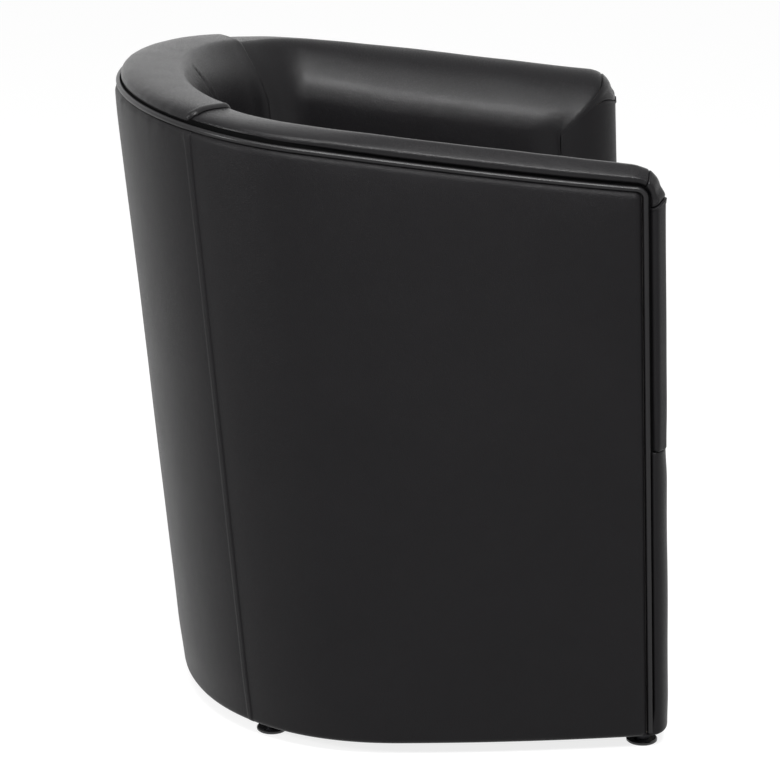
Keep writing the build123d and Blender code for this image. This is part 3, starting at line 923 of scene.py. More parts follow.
@dataclass
class InsideCovers:
    """Leather of the inside, which rolls over the rim as far as the piping: two sides and the back."""

    plan: TubPlan
    corner: ArmCorner
    width: float = 80 * MM
    back_extra: float = 15 * MM
    base_above: float = 5.2 * MM
    base_in: float = 6.0 * MM
    arm_rise: float = 25.7 * MM
    back_rise: float = 19.1 * MM
    front_drop: float = 2.1 * MM
    arm_crest: float = 0.2195
    back_crest: float = 0.7056
    wrap: float = 52 * MM
    outer_power: float = 3.0
    inner_power: float = 1.83
    arm_line: tuple[tuple[float, float], ...] = (
        (0.0, 0.0),
        (0.0, 4.0),
        (0.1, 6.7),
        (0.7, 8.8),
        (2.0, 10.4),
        (4.0, 12.1),
        (8.0, 15.0),
        (12.0, 17.6),
        (15.3, 19.2),
        (17.6, 19.7),
    )
    lip: float = 8.5 * MM
    back_lip: float = 5.0 * MM
    lip_depth: float = 6.5 * MM
    bottom: float = 0.335
    swell: float = 3.0 * MM
    thickness: float = 4.0 * MM
    seam_roll: float = 1.4 * MM
    seam_depth: float = 1.6 * MM
    low_fold: float = 0.05 * MM
    high_fold: float = 0.42 * MM
    seam_line: tuple[float, ...] = (1.04, 1.015, 1.02, 1.01, 0.98, 0.955)
    far_line: tuple[float, ...] = (1.04, 1.04, 1.085, 1.04, 0.987, 0.955)
    darts: tuple[tuple[float, float], ...] = ((20.0, 1.86), (32.0, 1.80), (48.0, 1.75), (64.0, 1.68), (90.0, 1.61))
    dart_depth: float = 2.2 * MM

    def outer_rows(self) -> np.ndarray:
        """Angles of the rows from the piping to the crest."""
        return np.radians(
            [0, 1.5, 3.5, 6, 9, 12.5, 16.5, 20, 23.5, 26.5, 29.5, 32.5, 36, 40, 45, 51, 57, 63, 69, 75, 81, 86, 90]
        )

    def inner_rows(self) -> np.ndarray:
        """Angles of the rows from the crest to the straight wall."""
        return np.radians([5, 11, 17, 24, 31, 38, 45, 52, 59, 66, 72, 78, 84, 90])

    def section(self, q: np.ndarray) -> tuple[np.ndarray, np.ndarray, np.ndarray]:
        """Section of the rolled rim, whose crest moves inwards towards the back.

        Args:
            q: stations of the columns.

        Returns:
            Inset, height over the piping line and whether the row lies on the inner slope, by row and column.
        """
        back = smooth((np.asarray(q, float) - 0.4576) / 0.5352)[None, :]
        rise = self.arm_rise + (self.back_rise - self.arm_rise) * back
        rise = rise - self.front_drop * (1 - smooth(np.asarray(q, float) / 0.25))[None, :]
        top = (self.arm_crest + (self.back_crest - self.arm_crest) * back) * self.width
        first = self.base_in * back
        outer, inner = 2 / self.outer_power, 2 / self.inner_power
        out, inn = self.outer_rows()[:, None], self.inner_rows()[:, None]
        arm = curve(self.arm_line, self.outer_rows() * 2 / math.pi)
        arm_x, arm_h = (arm / arm[-1]).T[:, :, None]
        x_out = first + (top - first) * (arm_x + (1 - np.cos(out) ** outer - arm_x) * back)
        h_out = self.base_above + (rise - self.base_above) * (arm_h + (np.sin(out) ** outer - arm_h) * back)
        x_in = top + (self.width - top) * np.sin(inn) ** inner
        h_in = -self.wrap + (rise + self.wrap) * np.abs(np.cos(inn)) ** inner
        inner = np.concatenate([np.zeros_like(h_out, bool), np.ones_like(h_in, bool)])
        return np.concatenate([x_out, x_in]), np.concatenate([h_out, h_in]), inner

    def seam_stations(self, side: Side) -> np.ndarray:
        """Station of the seam at each row, from the piping over the crest to the straight wall."""
        crest = len(self.outer_rows())
        rows = crest + len(self.inner_rows())
        marks_at = [0.0, crest * 0.5, crest, crest + 5.0, crest + 9.0, rows]
        return np.interp(np.arange(rows), marks_at, self.seam_line if side is Side.LEFT else self.far_line)

    def place(self, q: np.ndarray, inset: np.ndarray, h: np.ndarray) -> np.ndarray:
        """Positions at an inset and a height over the piping line, which may be negative."""
        extra = self.back_extra * inset / self.width
        x, y = self.plan.top.plan(self.plan.param("top", q), inset, extra)
        low_x, low_y = self.plan.low.plan(self.plan.param("low", q), inset, extra)
        top = np.stack([x, y, self.plan.piping_z(y)], axis=-1)
        low = np.stack([low_x, low_y, np.full_like(x, self.plan.floor_gap)], axis=-1)
        ruled = top - low
        ruled /= np.linalg.norm(ruled, axis=-1, keepdims=True)
        angle = np.arctan(self.plan.slope(y))
        normal = np.stack([np.zeros_like(x), -np.sin(angle), np.cos(angle)], axis=-1)
        lean = smooth(inset / self.width)[..., None] * (1 - smooth(h / self.arm_rise))[..., None]
        way = normal * (1 - lean) + ruled * lean
        way = np.where((h < 0)[..., None], ruled, way)
        return top + way * h[..., None]

    def relief(self, points: np.ndarray, base: np.ndarray) -> np.ndarray:
        """Unevenness of leather over soft foam."""
        long = ripple(points, (0.11, 0.11, 0.10), 2.2)
        short = ripple(points, (0.035, 0.035, 0.045), 7.4)
        return (0.9 * MM * long + 0.28 * MM * short) * base

    def surface(self, q: np.ndarray, seam: np.ndarray, front: np.ndarray | None, side: Side) -> np.ndarray:
        """Points of one piece.

        Args:
            q: (columns,) stations at the piping line.
            seam: (columns,) distances from the nearest seam.
            front: (columns,) distances from the front end, or None on the back.
            side: which half of the tub.

        Returns:
            (rows, columns, 3) positions.
        """
        inset, h, inner = self.section(q)
        length = self.plan.length("top", False)
        seam_at = self.seam_stations(side)[:, None]
        if front is not None:
            lead = self.corner.lead(h, inner) / length
            over = self.corner.mitre(h, inner) / length
            stations = lead - over + (seam_at - lead + over) * (q / q[-1])[None, :]
            ahead_by = (lead - stations) * length
            stations = np.maximum(stations, lead)
        else:
            stations = seam_at + (2.0 - seam_at) * (q - 1.0)[None, :]
        reach = (self.plan.piping_z(self.plan.top.plan(self.plan.param("top", q))[1]) - self.bottom)[None, :]
        down = np.array([0.03, 0.07, 0.12, 0.18, 0.25, 0.33, 0.42, 0.52, 0.62, 0.72, 0.82, 0.92, 1.0])[:, None]
        wall_h = -self.wrap - (reach - self.wrap) * down
        rim = len(stations)
        wall_q = np.broadcast_to(stations[-1], wall_h.shape)
        stations = np.concatenate([stations, wall_q])
        inset = np.concatenate([inset, np.full(wall_h.shape, self.width)])
        h = np.concatenate([h, wall_h])
        base = self.place(stations, inset, h)
        if front is not None:
            bent = self.corner.along(inset[:rim], h[:rim], inner, np.maximum(ahead_by, 0.0))
            base[:rim] = np.where((ahead_by > 0)[..., None], bent, base[:rim])
        rows = np.gradient(base, axis=0)
        columns = np.gradient(base, axis=1)
        normal = np.cross(columns, rows)
        normal /= np.linalg.norm(normal, axis=-1, keepdims=True)
        top_row = normal[len(self.outer_rows()) - 1, :, 2]
        normal *= np.sign(top_row)[None, :, None]
        travel = np.concatenate([np.zeros((1, h.shape[1])), np.cumsum(np.linalg.norm(np.diff(base, axis=0), axis=-1), axis=0)])
        lip = self.lip + (self.back_lip - self.lip) * smooth((q - 0.4576) / 0.5352)
        offset = -rolled(travel, lip[None, :], self.lip_depth)
        apart = np.broadcast_to(seam, h.shape)
        deep = smooth((travel - 60 * MM) / (120 * MM))
        fade = smooth(apart / (45 * MM))
        if front is not None:
            ahead = np.broadcast_to(front, h.shape)
            fade = fade * smooth(ahead / (50 * MM))
        offset = offset + self.swell * deep * fade
        flip = np.array([side.value, 1.0, 1.0])
        signed = base * flip
        offset += self.relief(signed, smooth(travel / (15 * MM)) * np.minimum(fade + 0.15, 1.0))
        puckers = ripple(signed * np.array([1, 1, 0.3]), (13 * MM, 13 * MM, 50 * MM), 12.6)
        offset += 0.6 * MM * puckers * np.exp(-travel / (8 * MM)) * smooth(travel / (3 * MM))
        folded = (front is None) == (side is Side.LEFT)
        ridge = (self.high_fold if folded else self.low_fold) * smooth(travel / (14 * MM))
        wide = self.seam_roll * (1.0 if side is Side.LEFT else 1.8)
        ridge = ridge * (1.0 if side is Side.LEFT else 2.0)
        offset += sewn(apart, self.seam_roll, self.seam_depth) + ridge * sewn(apart, wide, 0.0, 1.0)
        gathers = ripple(signed, (14 * MM, 14 * MM, 14 * MM), 21.0) * np.exp(-apart / (9 * MM)) * smooth(apart / (3 * MM))
        offset += 0.45 * MM * gathers
        if front is not None:
            behind = np.broadcast_to(front, h.shape)
            outer = np.where(np.arange(len(h)) < len(self.outer_rows()), 1.0, 0.0)[:, None]
            outer = np.maximum(outer, smooth((h + 5 * MM) / (20 * MM)))
            offset += sewn(behind, 1.6 * MM, 1.7 * MM) * outer
            offset += 0.55 * MM * ripple(signed, (60 * MM, 9 * MM, 60 * MM), 8.3) * np.exp(-((behind / (13 * MM)) ** 2))
            lumps = ripple(signed, (40 * MM, 15 * MM, 30 * MM), 15.2) * np.exp(-(((travel - 14 * MM) / (8 * MM)) ** 2))
            offset += 0.65 * MM * lumps * (0.35 + 0.65 * np.exp(-behind / (120 * MM)))
            away = ((behind - 11 * MM) / (2.6 * MM)) ** 2
            offset -= 1.1 * MM * np.exp(-away - ((travel - 12 * MM) / (2.4 * MM)) ** 2)
        else:
            offset += self.dart(q, travel)
        return (base + normal * offset[..., None]) * flip

    def build(self) -> None:
        """Builds the two sides and the back."""
        length = self.plan.length("top", False)
        run = marks(length - 0.15 * MM, 5.0 * MM, [d * MM for d in (0, 1.2, 2.6, 4.2, 6.2, 8.6)], FINE[:12])
        for side in Side:
            points = self.surface(run / length, length - run, run, side)
            piece = draped(f"inside_side_{side.word}", points, side is Side.LEFT, self.thickness)
            nodes = [f"{part}_{side.word}" for part in ("inner_cover", "inner_foam", "rim_foam")]
            settle(piece, "seat_leather", nodes)
        half = self.plan.length("top", True)
        run = marks(half - 0.15 * MM, 2.4 * MM, FINE[:12], [0.0]) + 0.15 * MM
        right = self.surface(1.0 + run / half, run, None, Side.RIGHT)
        left = self.surface(1.0 + run / half, run, None, Side.LEFT)
        middle = (left[:, -1:] + right[:, -1:]) / 2
        near = smooth((half - run) / (30 * MM))[None, :, None]
        left, right = middle * 0 + left, middle * 0 + right
        level = (left[..., 1:] + right[..., 1:]) / 2
        left[..., 1:] = level + (left[..., 1:] - level) * near
        right[..., 1:] = level + (right[..., 1:] - level) * near
        points = np.concatenate([left[:, :-1], right[:, ::-1]], axis=1)
        piece = draped("inside_back", points, False, self.thickness)
        nodes = [f"{part}_back" for part in ("inner_cover", "inner_foam", "rim_foam")]
        settle(piece, "seat_leather", nodes)

    def dart(self, q: np.ndarray, travel: np.ndarray) -> np.ndarray:
        """Offset of the short dart that takes up the fullness of one half of the back."""
        degrees, stations = np.array(self.darts).T
        outer, rows = len(self.outer_rows()), travel.shape[0]
        reached = np.degrees(self.inner_rows())
        line = np.full(rows, stations[-1])
        line[outer : outer + len(reached)] = np.interp(reached, degrees, stations)
        line[:outer] = stations[0]
        row = np.arange(rows)
        first = outer + float(np.interp(degrees[1], reached, np.arange(len(reached))))
        along = smooth((row - first + 1.5) / 3.0) * smooth((outer + len(reached) + 3.0 - row) / 5.0)
        apart = (q[None, :] - line[:, None]) * self.plan.length("top", True) * 0.8
        groove = -np.exp(-((apart / (2.0 * MM)) ** 2)) + 0.45 * np.exp(-(((apart + 6 * MM) / (4.2 * MM)) ** 2))
        return self.dart_depth * groove * along[:, None]


# ---------------------------------------------------------------- arm fronts


@dataclass
class ArmFronts:
    """Corner cap and facing of each arm's front."""

    plan: TubPlan
    corner: ArmCorner
    covers: InsideCovers
    cap_outer: float = 0.6398
    cap_front: float = 0.6495
    apron_seam: float = 0.362
    thickness: float = 3.0 * MM
    mitre_gap: float = 0.06 * MM
    gather: float = 0.5 * MM
    sag: float = 2.2 * MM

    def across(self) -> tuple[np.ndarray, np.ndarray, np.ndarray]:
        """Inset, height and slope side of the columns of the arm's section."""
        inset, h, inner = self.covers.section(np.array([0.0]))
        return inset[:, 0], h[:, 0], inner[:, 0]

    def seam_run(self, h: np.ndarray, inner: np.ndarray) -> np.ndarray:
        """Length along each column from the mitre to the cap's lower seam."""
        arc = self.corner.arc(h, inner)
        end = self.corner.at(h, np.ones_like(h), inner)[..., 1]
        lift = np.clip((h - self.covers.base_above) / (self.corner.rise - self.covers.base_above), 0.0, 1.0)
        wanted = self.cap_outer + (self.cap_front - self.cap_outer) * lift**1.5
        return np.where(inner, arc + 0.0035 + 0 * h, arc + end - wanted)

    def dress(
        self, side: Side, run: np.ndarray, edges: Sequence[tuple[np.ndarray, float, float, float]], sunk: Any = 0.0
    ) -> np.ndarray:
        """Points of one cover of the arm's front.

        Args:
            side: which arm.
            run: (rows, columns) lengths from the mitre.
            edges: distances from seams, each with its roll, depth and ridge.
            sunk: how far the cover lies below its line.

        Returns:
            (rows, columns, 3) positions.
        """
        inset, h, inner = self.across()
        shape = run.shape
        grid_h, grid_inner = np.broadcast_to(h, shape), np.broadcast_to(inner, shape)
        base = self.corner.along(np.broadcast_to(inset, shape), grid_h, grid_inner, run)
        normal = np.cross(np.gradient(base, axis=0), np.gradient(base, axis=1))
        length = np.linalg.norm(normal, axis=-1, keepdims=True)
        normal = normal / np.maximum(length, 1e-12)
        crest = len(self.covers.outer_rows()) - 1
        normal *= np.where(normal[:, crest : crest + 1, 1:2] > 0, -1.0, 1.0)
        travel = np.concatenate([[0.0], np.cumsum(np.hypot(np.diff(inset), np.diff(h)))])[None, :]
        offset = -rolled(np.broadcast_to(travel, shape), self.covers.lip, self.covers.lip_depth)
        outer = smooth((grid_h + 5 * MM) / (20 * MM))
        for distance, roll, depth, ridge in edges:
            offset = offset + sewn(distance, roll, depth, ridge) * np.where(grid_inner, outer, 1.0)
            gathers = ripple(base, (9 * MM, 12 * MM, 9 * MM), 3.3 + side.value) * np.exp(-((distance / (9 * MM)) ** 2))
            offset = offset + self.gather * gathers * np.where(grid_inner, outer, 1.0)
        soft = ripple(base, (0.05, 0.05, 0.11), 4.4 + side.value) * 0.5 * MM
        offset = offset + soft * smooth(travel / (10 * MM)) * np.where(grid_inner, outer, 1.0)
        points = base + normal * (offset - sunk)[..., None]
        points[..., 0] *= side.value
        return points

    def build(self) -> None:
        """Builds both caps and both facings."""
        _, h, inner = self.across()
        seam = self.seam_run(h, inner)
        for side in Side:
            share = np.array([0, 0.012, 0.03, 0.06, 0.1, 0.15, 0.21, 0.28, 0.35, 0.43, 0.51, 0.59, 0.67, 0.75, 0.82, 0.88, 0.93, 0.965, 0.985, 1.0])
            first = self.corner.mitre(h, inner) + self.mitre_gap
            run = first[None, :] + share[:, None] * (seam - self.mitre_gap - first)[None, :]
            pinch = (run - first[None, :], 1.6 * MM, 1.7 * MM, 0.35 * MM)
            fold = (seam[None, :] - self.mitre_gap - run, 4.0 * MM, 2.6 * MM, 0.0)
            sag = self.sag * np.exp(-(((share - 0.60) / 0.22) ** 2))[:, None] * smooth(h / (12 * MM))[None, :]
            points = self.dress(side, run, [pinch, fold], sag)
            cap = draped(f"arm_cap_{side.word}", points, side is Side.LEFT, self.thickness)
            settle(cap, "seat_leather", [f"facing_cap_{side.word}"])
            total = self.cap_outer - self.apron_seam
            down = marks(total, 9 * MM, FINE[:12], FINE[:12])
            start = (seam + self.mitre_gap)[None, :]
            bottom = self.corner.along(0 * h, h, inner, seam + self.mitre_gap)[..., 2] - self.apron_seam - 0.2 * MM
            run = start + (down / total)[:, None] * bottom[None, :]
            upper = (run - start, 1.0 * MM, 1.2 * MM, 1.3 * MM)
            left = start + bottom[None, :] - run
            lower = (left, 2.4 * MM, 1.7 * MM, 0.0)
            points = self.dress(side, run, [upper, lower], 1.1 * MM * np.exp(-((left / (34 * MM)) ** 2)))
            facing = draped(f"arm_facing_{side.word}", points, side is Side.LEFT, self.thickness)
            nodes = [f"facing_cover_{side.word}", f"facing_foam_{side.word}"]
            settle(facing, "black_leather", nodes)


# ---------------------------------------------------------------- front below the seat


@dataclass
class Apron:
    """Leather front below the seat, round both arm corners and under the lower edge."""

    plan: TubPlan
    fronts: ArmFronts
    bulge: float = 23 * MM
    corner_run: float = 34 * MM
    base_ahead: float = 4.0 * MM
    hem: float = 15 * MM
    hem_radius: float = 5 * MM
    board_top: float = 0.038
    thickness: float = 3.0 * MM

    def build(self) -> None:
        """Builds the front panel."""
        seam_z = self.fronts.apron_seam - 0.2 * MM
        angles = np.radians([0, 1.5, 3.5, 6, 9, 12.5, 16.5, 21, 26, 32, 38, 45, 52, 60, 68, 76, 84, 90])
        grip = 2 / 2.15
        run = self.corner_run * (1 - np.cos(angles) ** grip)
        ahead = self.base_ahead + (self.bulge - self.base_ahead) * np.sin(angles) ** grip
        heights = marks(seam_z - self.plan.floor_gap - self.hem_radius, 9 * MM, [0, 3 * MM, 8 * MM], FINE[:12])
        rows = [(self.hem_radius, r, self.hem_radius) for r in (self.hem, self.hem * 0.6, self.hem_radius + 1.5 * MM)]
        for degrees in (90, 68, 45, 22):
            a = math.radians(degrees)
            rows.append((self.hem_radius, self.hem_radius * (1 - math.cos(a)), self.hem_radius * math.sin(a)))
        rows += [(self.hem_radius + h, 0.0, 0.0) for h in heights]
        table = np.array(rows)
        z = self.plan.floor_gap + table[:, 0]
        line = self.plan.top.front + (z - self.plan.front_rise) * (self.plan.top.front - self.plan.low.front) / (
            self.plan.front_rise - self.plan.floor_gap
        )
        half = self.fronts.corner.half_width(z)
        middle = np.linspace(-1.0, 1.0, 61)[1:-1]
        flat = half - self.corner_run
        x = np.concatenate(
            [
                -(half[:, None] - run[None, :]),
                flat[:, None] * middle[None, :],
                (half[:, None] - run[None, ::-1]),
            ],
            axis=1,
        )
        above_board = smooth((z - self.board_top) / (4 * MM))
        lead = np.concatenate([ahead, np.full(len(middle), self.bulge), ahead[::-1]])
        lead = lead[None, :] - (1 - above_board)[:, None] * 1.6 * MM * (1 - smooth((lead - self.base_ahead) / (8 * MM)))
        travel = np.concatenate([[0.0], np.cumsum(np.hypot(np.diff(run), np.diff(ahead)))])
        travel = np.concatenate([travel, np.full(len(middle), 1.0), travel[::-1]])
        y = line[:, None] - lead
        base = np.stack([x, y, np.broadcast_to(z[:, None], x.shape)], axis=-1)
        normal = np.cross(np.gradient(base, axis=1), np.gradient(base, axis=0))
        normal = np.where(np.linalg.norm(normal, axis=-1, keepdims=True) < 1e-14, [0.0, -1.0, 0.0], normal)
        normal /= np.linalg.norm(normal, axis=-1, keepdims=True)
        level = normal * np.array([1.0, 1.0, 0.0])
        level /= np.linalg.norm(level, axis=-1, keepdims=True)
        wall = np.array([r[2] == 0.0 for r in rows])
        normal[~wall] = level[~wall]
        below = (seam_z - z)[:, None] + np.zeros_like(x)
        offset = -rolled(np.broadcast_to(travel, x.shape), 5.0 * MM, 1.0) * (1.4 * MM + 5.1 * MM * above_board[:, None])
        offset -= rolled(below, 2.4 * MM, 1.7 * MM)
        offset += (0.9 * MM * ripple(base, (0.12, 0.1, 0.10), 8.8) + 1.2 * MM) * smooth(below / (40 * MM)) * smooth(
            travel / (30 * MM)
        ) * smooth((z - self.plan.floor_gap) / (50 * MM))[:, None]
        points = base + normal * offset[..., None]
        points -= level * table[:, 1][:, None, None]
        points[..., 2] -= table[:, 2][:, None]
        piece = draped("front_apron", points, False, self.thickness)
        settle(piece, "black_leather", ["apron_cover", "apron_foam"])


# ---------------------------------------------------------------- piping


@dataclass
class PipingCord:
    """Leather piping round the rim and down both arm fronts."""

    plan: TubPlan
    corner: ArmCorner
    radius: float = 3.25 * MM
    inset: float = 1.9 * MM
    lift: float = 0.5 * MM
    step: float = 4.0 * MM
    tail: float = 3.0 * MM
    neck: float = 3.0 * MM
    tape: float = 0.9 * MM
    tape_half: float = 8.0 * MM

    def half_path(self) -> np.ndarray:
        """Points of the right half, from the lower front end to the middle of the back."""
        _, _, _, down = self.corner.axes
        turn = np.linspace(1.0, 0.0, 9)
        bend = self.corner.at(np.full_like(turn, self.lift), turn, np.zeros_like(turn, bool))
        drop = (bend[0, 1] - self.plan.floor_gap - self.tail) / -down[1]
        run = np.linspace(drop, 0.0, int(drop / self.step) + 1)[:-1]
        front = bend[0] + run[:, None] * down
        yz = np.concatenate([front, bend])
        share = (yz[:, 1] - self.plan.floor_gap) / (self.plan.front_rise - self.plan.floor_gap)
        x = self.plan.low.front_half + share * (self.plan.top.front_half - self.plan.low.front_half) - self.inset
        front_points = np.column_stack([x, yz[:, 0], yz[:, 1]])
        start = float(self.corner.lead(np.array([0.0]), np.array([False]))[0])
        length, back = self.plan.length("top", False), self.plan.length("top", True)
        along = np.concatenate([np.arange(start + self.step, length, self.step), [length]])
        behind = np.linspace(0.0, back, int(back / self.step) + 1)[1:]
        q = np.concatenate([along / length, 1.0 + behind / back])
        rim = self.plan.on_top(q, self.inset, self.lift)
        return np.concatenate([front_points, rim])

    def build(self) -> None:
        """Builds the cord with the tape that it is sewn in by."""
        half = self.half_path()
        left = half * np.array([-1.0, 1.0, 1.0])
        path = np.concatenate([left[:-1], half[::-1]])
        flat = np.gradient(path, axis=0) * np.array([1.0, 1.0, 0.0])
        outward = np.cross(flat, [0.0, 0.0, 1.0])
        steep = np.linalg.norm(flat, axis=1) < 2 * MM
        outward[steep] = path[steep] * np.array([1.0, 0.0, 0.0])
        outward *= np.sign(np.sum(outward * (path * np.array([1.0, 1.0, 0.0])), axis=1))[:, None]
        front = path[:, 1] < self.plan.top.front + 20 * MM
        outward[front] = np.sign(path[front, :1]) * np.array([1.0, 0.0, 0.0])
        turn = np.radians(np.linspace(180, -180, 21))[:-1]
        around = np.stack([np.cos(turn), np.sin(turn)], axis=-1)
        wobble = 1 + 0.035 * ripple(path, (0.05, 0.05, 0.05), 6.6)
        cord = self.radius * wobble[:, None, None] * around
        piece = swept("rim_piping", path, outward, cord)
        settle(piece, "piping_leather", ["piping"])
        # The tape lies deep behind the cord. Its near-black finish paints the shade at the bottom of the gap beside the
        # piping.
        back, half_tape = -self.neck, self.tape_half
        tape = np.array([(back, -half_tape), (back - self.tape, -half_tape), (back - self.tape, half_tape), (back, half_tape)])
        piece = swept("piping_tape", path, outward, np.broadcast_to(tape, (len(path), *tape.shape)))
        settle(piece, "tape")


# ---------------------------------------------------------------- seat


@dataclass
class SeatCushion:
    """Upholstered seat: crowned top, drawn-in sides and a seam round the top."""

    plan: TubPlan
    covers: InsideCovers
    low_z: float = 0.308
    side_z: float = 0.400
    top_z: float = 0.443
    inset: float = 79 * MM
    back_extra: float = 15 * MM
    nose: float = 15 * MM
    pressed: float = 1.5 * MM
    voxel: float = 5.2 * MM
    pressure: float = 4.0
    cap: float = 9 * MM

    def outline(self, z: float, inset: float) -> np.ndarray:
        """Closed level outline of the seat at one height."""
        q = np.concatenate([np.linspace(0.0, 0.16, 14), np.linspace(0.16, 1.0, 30)[1:], np.linspace(1.0, 2.0, 22)[1:]])
        full = self.inset + inset
        low = np.stack(self.plan.low.plan(self.plan.param("low", q), full, self.back_extra), axis=-1)
        top = np.stack(self.plan.top.plan(self.plan.param("top", q), full, self.back_extra), axis=-1)
        share = (z - self.plan.floor_gap) / (0.70 - self.plan.floor_gap)
        right = low + (top - low) * share
        right[:, 1] = right[-1, 1] + (right[:, 1] - right[-1, 1]) * (
            1 + (self.nose - inset) / (right[-1, 1] - right[0, 1])
        )
        shares = (z - self.plan.floor_gap) / (self.plan.front_rise - self.plan.floor_gap)
        line = self.plan.low.front + shares * (self.plan.top.front - self.plan.low.front)
        width, h, inner = (values[:, 0] for values in self.covers.section(np.array([0.0])))
        reach = np.interp(line - right[:, 1], h[inner][::-1], width[inner][::-1])
        wide = self.covers.corner.half_width(np.array(z)) - reach + self.pressed - inset
        right[:, 0] = np.where(line - right[:, 1] > h[inner][-1], np.maximum(right[:, 0], wide), right[:, 0])
        left = right[::-1] * np.array([-1.0, 1.0])
        return np.concatenate([right, left[1:]])

    def block(self) -> bpy.types.Object:
        """Closed form of the seat before it is stuffed."""
        levels = [(self.low_z, 10 * MM), (self.low_z + 4 * MM, 4 * MM), (self.low_z + 30 * MM, 1 * MM)]
        levels += [(self.side_z - 26 * MM, 0.0), (self.side_z, 1 * MM)]
        for degrees in (20, 40, 58, 72, 84):
            a = math.radians(degrees)
            run = 150 * MM * (1 - math.cos(a)) + 2 * MM
            levels.append((self.side_z + (self.top_z - self.side_z) * math.sin(a), run))
        mesh = bpy.data.meshes.new("seat_cushion")
        form = bmesh.new()
        rings = []
        for z, inset in levels:
            rings.append([form.verts.new((x, y, z)) for x, y in self.outline(z, inset)])
        for low, high in zip(rings, rings[1:]):
            for i in range(len(low)):
                j = (i + 1) % len(low)
                form.faces.new((low[i], low[j], high[j], high[i]))
        form.faces.new(rings[0][::-1])
        form.faces.new(rings[-1])
        bmesh.ops.recalc_face_normals(form, faces=form.faces)
        form.to_mesh(mesh)
        form.free()
        piece = bpy.data.objects.new("seat_cushion", mesh)
        bpy.context.collection.objects.link(piece)
        return piece

    def stuff(self, piece: bpy.types.Object) -> None:
        """Swells the form as stuffed leather, with every move capped."""
        rest = np.empty(len(piece.data.vertices) * 3, np.float32)
        piece.data.vertices.foreach_get("co", rest)
        hold(piece)
        cloth = piece.modifiers.new("Cloth", "CLOTH")
        settings = cloth.settings
        settings.quality = 6
        settings.mass = 0.5
        settings.tension_stiffness = settings.compression_stiffness = 18
        settings.bending_stiffness = 2.0
        settings.use_pressure = True
        settings.uniform_pressure_force = self.pressure
        settings.effector_weights.gravity = 0.0
        cloth.point_cache.frame_start, cloth.point_cache.frame_end = 1, 20
        scene = bpy.context.scene
        for number in range(1, 21):
            scene.frame_set(number)
        moved = piece.evaluated_get(bpy.context.evaluated_depsgraph_get())
        after = np.empty_like(rest)
        moved.data.vertices.foreach_get("co", after)
        piece.modifiers.clear()
        scene.frame_set(1)
        step = (after - rest).reshape(-1, 3)
        size = np.linalg.norm(step, axis=1, keepdims=True)
        step *= np.minimum(1.0, self.cap / np.maximum(size, 1e-9))
        rest = (rest.reshape(-1, 3) + step * 0.8).ravel()
        piece.data.vertices.foreach_set("co", rest)
        piece.data.update()

    def sew(self, piece: bpy.types.Object) -> None:
        """Presses the seam round the top into the swollen form and keeps it within its space."""
        count = len(piece.data.vertices)
        flat = np.empty(count * 3, np.float32)
        piece.data.vertices.foreach_get("co", flat)
        points = flat.reshape(-1, 3).astype(float)
        middle = np.array([0.0, -0.03])
        away = points[:, :2] - middle
        far = np.linalg.norm(away, axis=1)
        way = away / np.maximum(far, 1e-9)[:, None]
        seam = np.exp(-(((points[:, 2] - (self.side_z + 4 * MM)) / (1.8 * MM)) ** 2)) * smooth((far - 0.14) / 0.05)
        points[:, :2] -= way * (seam * 3.0 * MM)[:, None]
        points[:, 2] -= seam * 0.8 * MM
        grain = ripple(points, (0.09, 0.09, 0.05), 3.1) * 1.2 * MM + ripple(points, (0.03, 0.03, 0.03), 5.7) * 0.35 * MM
        points[:, 2] += np.where(points[:, 2] > self.side_z, grain, 0.0)
        points[:, 2] = np.maximum(points[:, 2], self.low_z)
        piece.data.vertices.foreach_set("co", points.astype(np.float32).ravel())
        piece.data.update()

    def build(self) -> None:
        """Builds the seat."""
        piece = self.block()
        finish_with(piece, "REMESH", mode="VOXEL", voxel_size=self.voxel)
        finish_with(piece, "SMOOTH", factor=0.5, iterations=2)
        self.stuff(piece)
        finish_with(piece, "SUBSURF", levels=1, render_levels=1)
        self.sew(piece)
        hold(piece)
        bpy.ops.object.shade_smooth()
        settle(piece, "seat_leather", ["seat_cover", "seat_foam"])


# ---------------------------------------------------------------- seam stitches


